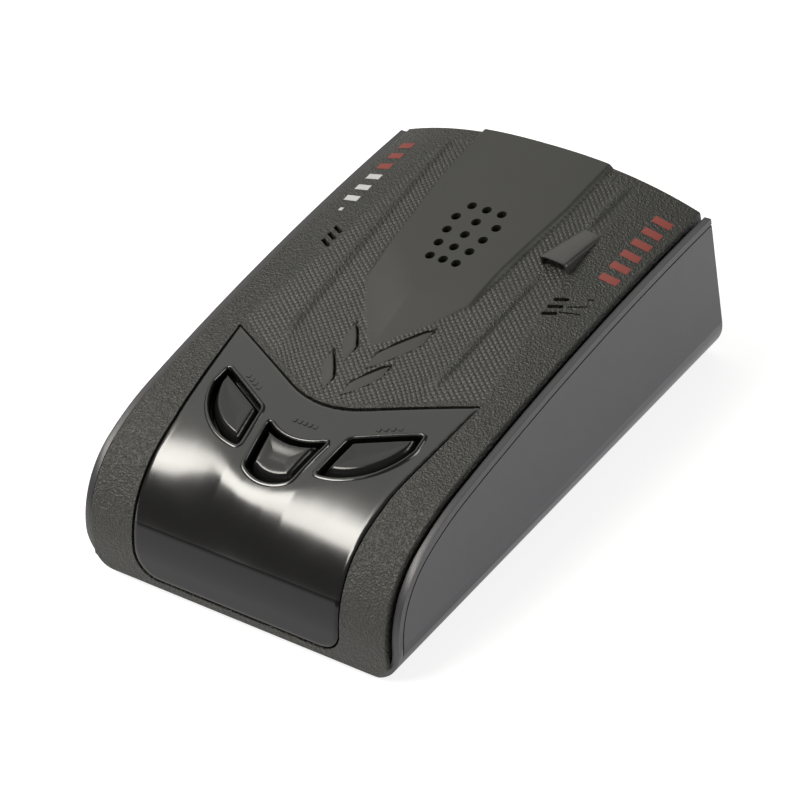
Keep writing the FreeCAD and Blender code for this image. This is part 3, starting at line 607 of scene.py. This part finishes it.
def scoop():
    """The small hood over a sensor: a square mouth in front, a tapering back that runs into the cover."""
    def loop(t, inset, low):
        y = SCOOP_FRONT_Y + (SCOOP_TAIL_Y - SCOOP_FRONT_Y) * t
        centre = SCOOP_X + 1.0 * t
        half = SCOOP_HALF_W - 0.9 * t - inset
        top = max(SCOOP_H * (1 - t) ** 0.9 + 0.05 - inset * 0.85, low + 0.1)
        r = min(0.55, 0.4 * (top - low), half * 0.4)
        corners = [(half, low), (half, top - r)]
        corners += [(half - r + r * math.cos(a), top - r + r * math.sin(a)) for a in np.radians((30, 60, 90))]
        crest = [(half * 0.45, top + 0.08), (0.0, top + 0.1), (-half * 0.45, top + 0.08)]
        both = corners + crest + [(-u, v) for u, v in corners[::-1]]
        return [on_cover(centre + u, y, v) for u, v in both]

    loops = [loop(t, 0.0, -0.5) for t in (1.0, 0.9, 0.75, 0.6, 0.45, 0.3, 0.15, 0.05, 0.015)]
    loops += [loop(0.0, 0.1, -0.5), loop(0.0, 0.4, -0.4)]
    loops += [loop(t, inset, -0.3) for t, inset in ((0.02, 0.5), (0.2, 0.6), (0.4, 0.7))]
    k = len(loops[0])
    faces = [[i * k + j, i * k + (j + 1) % k, (i + 1) * k + (j + 1) % k, (i + 1) * k + j]
             for i in range(len(loops) - 1) for j in range(k)]
    faces += [list(range(k)), [(len(loops) - 1) * k + j for j in range(k)][::-1]]
    return mesh_from("scoop_hood", np.concatenate(loops), faces, 50)


def bar(name, centre, size, lean=0.0, lift=0.06):
    """A thin printed bar that follows the cover."""
    (cx, cy), (wide, long) = centre, size
    section = [(-1, -0.15), (-1, lift * 0.6), (-0.92, lift), (0.92, lift), (1, lift * 0.6), (1, -0.15)]
    stations = [lambda u, v, t=t: on_cover(cx + u * wide / 2 + lean * t * long, cy + t * long, v)
                for t in np.linspace(-0.5, 0.5, 7)]
    return sweep(name, section, stations, 30)


def groove_shadow_strip(name, side, a, b):
    """Painted shadow of a thin groove from a to b: a flat dark strip laid on the cover in place of the groove's
    shade.
    """
    (ax, ay), (bx, by) = a, b
    over = np.array((-(by - ay), bx - ax)) / math.hypot(bx - ax, by - ay) * 0.14
    section = [(-1, -0.3), (-1, 0.04), (1, 0.04), (1, -0.3)]

    def station(u, v, t):
        return on_cover(side * (ax + (bx - ax) * t + u * over[0]), ay + (by - ay) * t + u * over[1], v)

    stations = [lambda u, v, t=t: station(u, v, t) for t in np.linspace(0, 1, 6)]
    return sweep(name, section, stations, 30)


# ---------------------------------------------------------------- buttons and fascia
def tilted(u, v, w):
    """A point from the flat frame of the buttons: u right, v back along the fascia, w square to it."""
    centre = skin(0.0, run_at(0, y=BUTTON_Y))
    c, s = math.cos(BUTTON_TILT), math.sin(BUTTON_TILT)
    u, v, w = np.broadcast_arrays(np.asarray(u, float), np.asarray(v, float), np.asarray(w, float))
    return np.stack([u, centre[1] + v * c - w * s, centre[2] + v * s + w * c], axis=-1)


def arc_through(a, b, c, n=10):
    """Points on the circle from a to c by way of b."""
    ax, ay, bx, by, cx, cy = *a, *b, *c
    d = 2 * (ax * (by - cy) + bx * (cy - ay) + cx * (ay - by))
    ux = ((ax**2 + ay**2) * (by - cy) + (bx**2 + by**2) * (cy - ay) + (cx**2 + cy**2) * (ay - by)) / d
    uy = ((ax**2 + ay**2) * (cx - bx) + (bx**2 + by**2) * (ax - cx) + (cx**2 + cy**2) * (bx - ax)) / d
    r = math.hypot(ax - ux, ay - uy)
    t0, t1, t2 = (math.atan2(p[1] - uy, p[0] - ux) for p in (a, b, c))
    turn = (t2 - t0) % (2 * math.pi)
    if (t1 - t0) % (2 * math.pi) > turn:
        turn -= 2 * math.pi
    return [(ux + r * math.cos(t0 + turn * i / n), uy + r * math.sin(t0 + turn * i / n)) for i in range(n + 1)]


def button_outline(name):
    """The opening for a button, in the buttons' flat frame."""
    if name == "centre":
        top = arc_through((-7.0, 0.8), (0, -1.4), (7.0, 0.8))
        low = arc_through((5.4, -9.4), (0, -11.2), (-5.4, -9.4))
        return np.array(top + low)
    points = [(9.1, -6.4), (10.4, 2.9), (23.2, 9.2)]
    points += arc_through((23.6, 5.2), (19.0, -2.6), (9.1, -6.4))[:-1]
    side = -1 if name == "left" else 1
    return np.array([(side * u, v) for u, v in points])


def round_outline(outline, radius=0.8):
    """Rounds only the sharp corners of an outline and spaces its points evenly."""
    keep = []
    for before, here, after in zip(np.roll(outline, 1, 0), outline, np.roll(outline, -1, 0)):
        a, b = here - before, after - here
        bend = abs(math.atan2(a[0] * b[1] - a[1] * b[0], a @ b))
        if bend < math.radians(25):
            keep.append(here)
            continue
        r1 = min(radius, 0.45 * np.hypot(*a))
        r2 = min(radius, 0.45 * np.hypot(*b))
        p, q = here - a / np.hypot(*a) * r1, here + b / np.hypot(*b) * r2
        keep.extend((1 - t) ** 2 * p + 2 * t * (1 - t) * here + t * t * q for t in np.linspace(0, 1, 6))
    return respaced(np.array(keep), 96)


def respaced(outline, count):
    d = np.hypot(*(np.roll(outline, -1, 0) - outline).T)
    run = np.concatenate([[0], np.cumsum(d)])
    loop = np.concatenate([outline, outline[:1]])
    at = np.linspace(0, run[-1], count, endpoint=False)
    return np.stack([np.interp(at, run, loop[:, k]) for k in (0, 1)], axis=1)


def shrunk(outline, by):
    """The outline moved inwards by a distance, and eased so that it does not cross itself."""
    area = 0.5 * np.sum(outline[:, 0] * np.roll(outline[:, 1], -1) - np.roll(outline[:, 0], -1) * outline[:, 1])
    tangent = np.roll(outline, -1, 0) - np.roll(outline, 1, 0)
    tangent /= np.maximum(np.hypot(*tangent.T)[:, None], 1e-9)
    inward = np.stack([-tangent[:, 1], tangent[:, 0]], axis=1) * (1 if area > 0 else -1)
    moved = outline + inward * by
    for _ in range(3 if by > 0 else 0):
        moved = (np.roll(moved, 1, 0) + 2 * moved + np.roll(moved, -1, 0)) / 4
    return moved


OPENINGS = {name: round_outline(button_outline(name)) for name in ("left", "centre", "right")}


def flat_to_skin(outline):
    """(x, s) rows on the cover under points of the buttons' flat frame."""
    p = tilted(outline[:, 0], outline[:, 1], 0.0)
    return np.array([(x, run_at(x, y=y)) for x, y, _ in p])


def relief_curve():
    """The relief square to the crest line, from behind it (negative) to the crease in front of it."""
    at = [-13, -9, -6, -3, -1.5, 0, 2, 4, 6, 8, 10, 12]
    height = [0, 0.2, 0.5, 0.85, 0.95, 0.88, 0.67, 0.46, 0.26, 0.1, 0.02, 0]
    step, blur = 0.05, 0.7
    fine = np.arange(-18.0, 20.0, step)
    raw = np.interp(fine, at, height)
    kernel = np.exp(-0.5 * (np.arange(-60, 61) * step / blur) ** 2)
    return fine, np.convolve(raw, kernel / kernel.sum(), mode="same")


RELIEF = relief_curve()
CREST = ([1.4, 3.5, 8.0, 12.0, 17.0, 22.0, 26.0], [10.4, 10.8, 12.6, 15.0, 17.6, 19.5, 20.5])
CREST_STRENGTH = ([0, 8, 12, 16, 20, 24], [1.0, 1.0, 0.75, 0.5, 0.25, 0.0])


def fascia_height(x, s):
    """The swept relief below the buttons: a broad crest and the slope that falls from it to the crease."""
    ax = np.abs(x)
    crest = np.interp(np.sqrt(ax**2 + 2.0), *CREST)
    ahead = np.interp(NOSE + crest, PROFILE[:, 0], RUN) - s
    strength = np.interp(ax, *CREST_STRENGTH)
    return strength * np.interp(ahead, *RELIEF)


def fascia_relief(coords):
    """Relief of the fascia at rows of (x, s), fading out at its sides and rear but not at the crease."""
    _, border = nearest(coords, [PANEL])
    return fascia_height(coords[:, 0], coords[:, 1]) * smooth(border / 2.0), border


def fascia():
    openings = {name: flat_to_skin(outline) for name, outline in OPENINGS.items()}
    region = densify(above_crease(PANEL, CREASE_Z + CREASE_GAP, True), 0.3)
    lo, hi = region.min(0), region.max(0)
    step = 0.3
    half = np.arange(0, hi[0] + step, step)
    xs = np.concatenate([-half[:0:-1], half])
    ss = np.arange(lo[1], hi[1] + step, step)

    def outer_at(coords):
        relief, border = fascia_relief(coords)
        return skin(coords[:, 0], coords[:, 1], 0.2 * (1 - smooth(border / 0.5)) - relief)

    def inner_at(coords):
        return skin(coords[:, 0], coords[:, 1], SKIN_T)

    return shell("fascia_panel", xs, ss, region, list(openings.values()), outer_at, inner_at, snap=0.3)


def window():
    region = densify(above_crease(PANEL, CREASE_Z - CREASE_GAP, False), 0.3)
    lo, hi = region.min(0), region.max(0)
    half = np.arange(0, hi[0] + 0.5, 0.5)
    xs = np.concatenate([-half[:0:-1], half])
    ss = np.arange(lo[1], hi[1] + 0.25, 0.4)

    def outer_at(coords):
        _, border = nearest(coords, [PANEL])
        return skin(coords[:, 0], coords[:, 1], 0.2 * (1 - smooth(border / 0.5)))

    return shell("window_panel", xs, ss, region, [], outer_at, lambda c: skin(c[:, 0], c[:, 1], SKIN_T), snap=0.5)


def button(name):
    """A gloss cap with sloped sides and a slightly dished top, on its flange and stem."""
    edge = densify(flat_to_skin(shrunk(OPENINGS[name], BUTTON_FIT)), 0.2)
    lo, hi = edge.min(0) - 0.3, edge.max(0) + 0.3
    step = 0.22

    def top_at(coords):
        spot, border = nearest(coords, [edge])
        toward = (spot[:, 1] - coords[:, 1]) / np.maximum(border, 0.05)
        slope = SLOPE_REAR + (SLOPE_FRONT - SLOPE_REAR) * np.clip(0.5 - 0.5 * toward, 0, 1)
        climb = 1 - (1 - np.clip(border / slope, 0, 1)) ** 1.5
        rise = CAP_FOOT + CAP_RISE * climb - CAP_DISH * smooth((border - slope) / 2.5)
        return skin(coords[:, 0], coords[:, 1], -rise)

    xs = np.arange(lo[0], hi[0] + step, step)
    ss = np.arange(lo[1], hi[1] + step, step)
    cap = shell("button_cap_" + name, xs, ss, edge, [], top_at, lambda c: skin(c[:, 0], c[:, 1], 2.6), snap=0.25)
    wide = shrunk(OPENINGS[name], -FLANGE_REACH)
    stations = [lambda u, v, w=w: tilted(u, v, w) for w in (FLANGE_TOP, FLANGE_BOTTOM)]
    flange = sweep("flange_" + name, wide, stations)
    x, v = SWITCH_PLACES[name]
    stations = [lambda u, v, w=w: tilted(u, v, w) for w in (FLANGE_BOTTOM, STEM_BOTTOM)]
    stem = sweep("stem_" + name, ring(x, v, STEM_R), stations)
    return joined(cap, flange, stem)


def joined(first, *others):
    """One object from several; the others are removed."""
    work = bmesh.new()
    for obj in (first, *others):
        work.from_mesh(obj.data)
    work.to_mesh(first.data)
    work.free()
    for obj in others:
        data = obj.data
        bpy.data.objects.remove(obj)
        bpy.data.meshes.remove(data)
    return first


def button_rim(name):
    """The raised bead round a button's opening: high behind it, low in front."""
    opening = OPENINGS[name]
    v = opening[:, 1]
    tall = 0.5 + 1.0 * smooth((v - v.min()) / (v.max() - v.min()) * 1.4)
    rows = [(0.02, -1.6), (0.0, 0.0), (-0.1, 0.22), (-0.3, 0.34), (-0.55, 0.3), (-0.8, 0.12), (-0.95, -0.12)]
    points = []
    for inset, height in rows:
        loop = flat_to_skin(shrunk(opening, inset))
        relief, _ = fascia_relief(loop)
        lift = np.where(height > 0, height * tall, height)
        points.extend(skin(loop[:, 0], loop[:, 1], -relief - lift))
    k = len(opening)
    faces = []
    for i in range(len(rows)):
        for j in range(k):
            nxt = (i + 1) % len(rows)
            faces.append([i * k + j, i * k + (j + 1) % k, nxt * k + (j + 1) % k, nxt * k + j])
    return mesh_from("button_rim_" + name, points, faces, 60)


cover = top_cover()
panel = fascia()
glass = window()
caps = {name: button(name) for name in OPENINGS}
rims = {name: button_rim(name) for name in OPENINGS}
scales, painted_shadow_strips = [], []
for number, (rear, slope, start, end, width) in enumerate(SCALES, 1):
    for side, word in ((-1, "left"), (1, "right")):
        last = min(end, SHORT_ARM) if side < 0 else end
        scales.append(scale(f"scale_{word}_{number}", side, rear, slope, start, last, width))
        wide = 0.3 if side < 0 else 1.3
        # painted shadow strip laid over the cut behind each scale
        painted_shadow_strips.append(slit_shadow_strip(f"slit_{word}_{number}", side, rear, slope, start + 0.5, last - 0.3, wide))
hood = scoop()
red_bars = [bar(f"bar_right_{i}", (31.5, 83.0 + 3.7 * i), (3.9, 1.8)) for i in range(6)]
red_bars += [bar(f"bar_left_{i}", (-30.5, 102.0 - 3.7 * i), (3.4, 1.8)) for i in range(3)]
white_bars = [bar(f"bar_left_{i}", (-30.5, 102.0 - 3.7 * i), (3.4, 1.6)) for i in range(3, 6)]
white_bars.append(bar("dot_left", (-30.5, 79.8), (0.9, 0.9)))
ticks = [bar(f"tick_{word}_{i}", (side * (14.3 + 1.25 * i), 31.9 + 0.6 * i), (0.75, 0.9), lift=0.16)
         for side, word in ((-1, "left"), (1, "right")) for i in range(4)]
ticks += [bar(f"tick_centre_{i}", (-2.4 + 1.2 * i, 27.9), (0.75, 0.9), lift=0.16) for i in range(5)]
# painted shadow strips standing in for the grooves beside the vents
painted_shadow_strips += [groove_shadow_strip(f"groove_{i}", 1, a, b) for i, (a, b) in enumerate(GROOVES)]


# ---------------------------------------------------------------- materials
def node_material(name, base, rough, *, metal=0.0, spec=0.5,
                  grain=0.0, grain_size=0.6, mottle=0.06, masked=False, smear=0.0):
    """A moulded finish: uneven colour and roughness from noise, and a cellular grain in the bump."""
    mat = bpy.data.materials.new(name)
    mat.use_nodes = True
    nodes, links = mat.node_tree.nodes, mat.node_tree.links
    shader = nodes["Principled BSDF"]
    shader.inputs["Metallic"].default_value = metal
    shader.inputs["Specular IOR Level"].default_value = spec
    place = nodes.new("ShaderNodeTexCoord")
    cloud = nodes.new("ShaderNodeTexNoise")
    cloud.inputs["Scale"].default_value = 90.0
    cloud.inputs["Detail"].default_value = 6.0
    links.new(place.outputs["Object"], cloud.inputs["Vector"])
    tone = nodes.new("ShaderNodeMapRange")
    tone.inputs["To Min"].default_value = 1 - mottle
    tone.inputs["To Max"].default_value = 1 + mottle
    links.new(cloud.outputs["Fac"], tone.inputs["Value"])
    tinted = nodes.new("ShaderNodeVectorMath")
    tinted.operation = "SCALE"
    tinted.inputs[0].default_value = base
    links.new(tone.outputs["Result"], tinted.inputs["Scale"])
    links.new(tinted.outputs["Vector"], shader.inputs["Base Color"])
    rub = nodes.new("ShaderNodeMapRange")
    rub.inputs["To Min"].default_value = max(0.02, rough * 0.92 - smear)
    rub.inputs["To Max"].default_value = min(1.0, rough * 1.08 + smear)
    wipe = nodes.new("ShaderNodeTexNoise")
    wipe.inputs["Scale"].default_value = 260.0
    wipe.inputs["Detail"].default_value = 3.0
    links.new(place.outputs["Object"], wipe.inputs["Vector"])
    links.new(wipe.outputs["Fac"], rub.inputs["Value"])
    links.new(rub.outputs["Result"], shader.inputs["Roughness"])
    if grain:
        cells = nodes.new("ShaderNodeTexVoronoi")
        cells.feature = "SMOOTH_F1"
        cells.inputs["Scale"].default_value = 1.0 / (grain_size * MM)
        cells.inputs["Smoothness"].default_value = 0.6
        wander = nodes.new("ShaderNodeTexNoise")
        wander.inputs["Scale"].default_value = 0.6 / (grain_size * MM)
        links.new(place.outputs["Object"], wander.inputs["Vector"])
        links.new(place.outputs["Object"], cells.inputs["Vector"])
        both = nodes.new("ShaderNodeMath")
        both.operation = "MULTIPLY_ADD"
        both.inputs[1].default_value = 0.6
        links.new(cells.outputs["Distance"], both.inputs[0])
        links.new(wander.outputs["Fac"], both.inputs[2])
        bump = nodes.new("ShaderNodeBump")
        bump.inputs["Distance"].default_value = grain * MM
        links.new(both.outputs[0], bump.inputs["Height"])
        if masked:
            mask = nodes.new("ShaderNodeAttribute")
            mask.attribute_name = "grain"
            links.new(mask.outputs["Fac"], bump.inputs["Strength"])
        links.new(bump.outputs["Normal"], shader.inputs["Normal"])
    return mat


FINISHES = {
    "cover_textured": node_material("cover_plastic", (0.0185, 0.0186, 0.0152), 0.5, grain=0.34, grain_size=0.36,
                                    mottle=0.08, masked=True),
    "case_satin": node_material("case_plastic", (0.034, 0.033, 0.037), 0.4, grain=0.012, grain_size=0.3),
    "fascia_gloss": node_material("fascia_plastic", (0.004, 0.004, 0.0035), 0.19, spec=0.8, mottle=0.02, smear=0.01),
    "window_smoked": node_material("window_plastic", (0.006, 0.005, 0.006), 0.1, spec=0.3, mottle=0.02),
    "button_gloss": node_material("button_plastic", (0.006, 0.006, 0.006), 0.2, mottle=0.03),
    "scoop_satin": node_material("scoop_plastic", (0.03, 0.0295, 0.028), 0.24, grain=0.02, grain_size=0.3),
    "lens_dark": node_material("lens_plastic", (0.004, 0.003, 0.003), 0.06),
    "sensor_epoxy": node_material("sensor_epoxy", (0.01, 0.01, 0.02), 0.12),
    "circuit_board": node_material("board_laminate", (0.01, 0.08, 0.03), 0.35, mottle=0.2),
    "cast_zinc": node_material("zinc_casting", (0.42, 0.42, 0.43), 0.42, metal=1.0, grain=0.03, mottle=0.1),
    "tinned_steel": node_material("tinned_steel", (0.6, 0.6, 0.6), 0.28, metal=1.0),
    "screw_steel": node_material("screw_steel", (0.32, 0.32, 0.33), 0.32, metal=1.0),
    "chip_black": node_material("chip_epoxy", (0.012, 0.012, 0.013), 0.55, grain=0.01, grain_size=0.2),
    "capacitor_sleeve": node_material("capacitor_sleeve", (0.02, 0.03, 0.09), 0.35),
    "display_body": node_material("display_body", (0.015, 0.015, 0.015), 0.4),
    "display_amber": node_material("display_segments", (0.5, 0.12, 0.01), 0.3),
    "cable_grey": node_material("cable_film", (0.3, 0.3, 0.29), 0.5),
    "nylon_white": node_material("nylon", (0.6, 0.59, 0.55), 0.5),
    "switch_black": node_material("switch_plastic", (0.015, 0.015, 0.015), 0.4),
    "speaker_metal": node_material("speaker_metal", (0.25, 0.25, 0.26), 0.35, metal=1.0),
    "speaker_film": node_material("speaker_film", (0.008, 0.008, 0.008), 0.6),
    "foam_black": node_material("gasket_foam", (0.008, 0.008, 0.008), 0.9, grain=0.1, grain_size=0.25),
    "socket_black": node_material("socket_plastic", (0.012, 0.012, 0.012), 0.35),
    "foot_rubber": node_material("foot_rubber", (0.014, 0.014, 0.014), 0.75, grain=0.03, grain_size=0.3),
    "label_silver": node_material("label_foil", (0.5, 0.5, 0.51), 0.3, metal=0.6),
}


def finish(obj, slot):
    """Gives an object the material of a slot of the record."""
    obj.data.materials.clear()
    obj.data.materials.append(FINISHES[slot])


def piece(obj, slot, body="root", replaces=()):
    """Enters a new piece: its finish, the body it rides on and the CAD nodes it stands for."""
    finish(obj, slot)
    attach(obj, body)
    if replaces:
        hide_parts(*replaces)


for part in frame["record"]["subparts"]:
    finish(frame["nodes"][part["node"]], part["material_slot"])

piece(cover, "cover_textured", replaces=["top_cover"])
piece(panel, "fascia_gloss", replaces=["control_fascia"])
piece(glass, "window_smoked", replaces=["display_window"])
for name, cap in caps.items():
    piece(cap, "button_gloss", body="button_" + name, replaces=["button_" + name])
for rim in rims.values():
    piece(rim, "fascia_gloss")
piece(hood, "scoop_satin", replaces=["sensor_scoop"])
SCALE_PAINT = node_material("scale_plastic", (0.0185, 0.0186, 0.0152), 0.46)
RED_INK = node_material("red_ink", (0.17, 0.028, 0.02), 0.5)
WHITE_INK = node_material("white_ink", (0.42, 0.42, 0.42), 0.5)
# painted shadow: one near-black matt material for the strips that stand in for the shade in the slits behind the
# scales and in the grooves
SLIT_PAINTED_SHADOW = node_material("slit_shadow", (0.002, 0.002, 0.002), 0.9, spec=0.1)
for tick in ticks:
    piece(tick, "fascia_gloss")
for group, paint in ((scales, SCALE_PAINT), (painted_shadow_strips, SLIT_PAINTED_SHADOW), (red_bars, RED_INK), (white_bars, WHITE_INK)):
    for obj in group:
        piece(obj, "cover_textured")
        obj.data.materials[0] = paint

weld = frame["nodes"]["lower_case"].modifiers.new("edges", "WELD")
weld.merge_threshold = 0.001 * MM
rounded_edges = frame["nodes"]["lower_case"].modifiers.new("rounding", "BEVEL")
rounded_edges.width = 0.22 * MM
rounded_edges.segments = 2
rounded_edges.limit_method = "ANGLE"
rounded_edges.angle_limit = math.radians(40)


# ---------------------------------------------------------------- stage, light, camera
FLOOR_HALF_M = 6.0
CAMERA_ANGLES = (43.42, 37.39, -10.77)
CAMERA_DISTANCE = 600.8
CAMERA_AIM = (1.04, -1.64, 16.11)
CAMERA_LENS = 141.6


def plain_floor():
    """A pale floor that gives off a little light, so that the background stays white."""
    mesh = bpy.data.meshes.new("floor")
    r = FLOOR_HALF_M
    mesh.from_pydata([(-r, -r, 0), (r, -r, 0), (r, r, 0), (-r, r, 0)], [], [(0, 1, 2, 3)])
    obj = new_object("floor", mesh)
    mat = bpy.data.materials.new("paper")
    mat.use_nodes = True
    nodes, links = mat.node_tree.nodes, mat.node_tree.links
    shader = nodes["Principled BSDF"]
    shader.inputs["Roughness"].default_value = 0.9
    shader.inputs["Specular IOR Level"].default_value = 0.0
    noise = nodes.new("ShaderNodeTexNoise")
    noise.inputs["Scale"].default_value = 3.0
    tone = nodes.new("ShaderNodeMapRange")
    tone.inputs["To Min"].default_value = 0.36
    tone.inputs["To Max"].default_value = 0.40
    shader.inputs["Emission Color"].default_value = (1, 1, 1, 1)
    shader.inputs["Emission Strength"].default_value = 0.8
    links.new(noise.outputs["Fac"], tone.inputs["Value"])
    links.new(tone.outputs["Result"], shader.inputs["Base Color"])
    mesh.materials.append(mat)


def soft_box(name, toward, distance, size, power, colour=(1, 1, 1)):
    """An area light that faces the object from a direction."""
    light = bpy.data.lights.new(name, "AREA")
    light.shape = "RECTANGLE"
    light.size, light.size_y = size
    light.energy = power
    light.color = colour
    obj = bpy.data.objects.new(name, light)
    bpy.context.scene.collection.objects.link(obj)
    direction = Vector(toward).normalized()
    target = Vector((0, 0, 0.02))
    obj.location = target + direction * distance
    obj.rotation_euler = direction.to_track_quat("Z", "Y").to_euler()


def camera():
    """The camera that was fitted to the photograph's outlines."""
    azimuth, elevation, roll = (math.radians(v) for v in CAMERA_ANGLES)
    distance = CAMERA_DISTANCE * MM
    aim = Vector(CAMERA_AIM) * MM
    flat = math.cos(elevation)
    back = Vector((math.sin(azimuth) * flat, -math.cos(azimuth) * flat, math.sin(elevation)))
    right = Vector((math.cos(azimuth), math.sin(azimuth), 0))
    up = back.cross(right)
    across = right * math.cos(roll) + up * math.sin(roll)
    upward = -right * math.sin(roll) + up * math.cos(roll)
    data = bpy.data.cameras.new("camera")
    data.sensor_width = 36.0
    data.lens = CAMERA_LENS
    data.clip_start = 0.01
    obj = bpy.data.objects.new("camera", data)
    bpy.context.scene.collection.objects.link(obj)
    rotation = Matrix((across, upward, back)).transposed().to_4x4()
    obj.matrix_world = Matrix.Translation(aim + back * distance) @ rotation
    bpy.context.scene.camera = obj


plain_floor()
soft_box("key", (-0.447, -0.392, 0.804), 1.0, (0.9, 0.33), 12.5, (1.0, 0.97, 0.91))
soft_box("overhead", (-0.5, 0.35, 0.8), 1.6, (2.2, 1.8), 11.0, (1.0, 1.0, 0.94))
soft_box("fill_right", (1.0, 0.3, 0.35), 1.6, (1.0, 0.8), 12.0)
bpy.context.scene.view_settings.view_transform = "Standard"
world = bpy.data.worlds.new("studio")
bpy.context.scene.world = world
world.use_nodes = True
world.node_tree.nodes["Background"].inputs["Color"].default_value = (1, 1, 1, 1)
world.node_tree.nodes["Background"].inputs["Strength"].default_value = 0.16
camera()
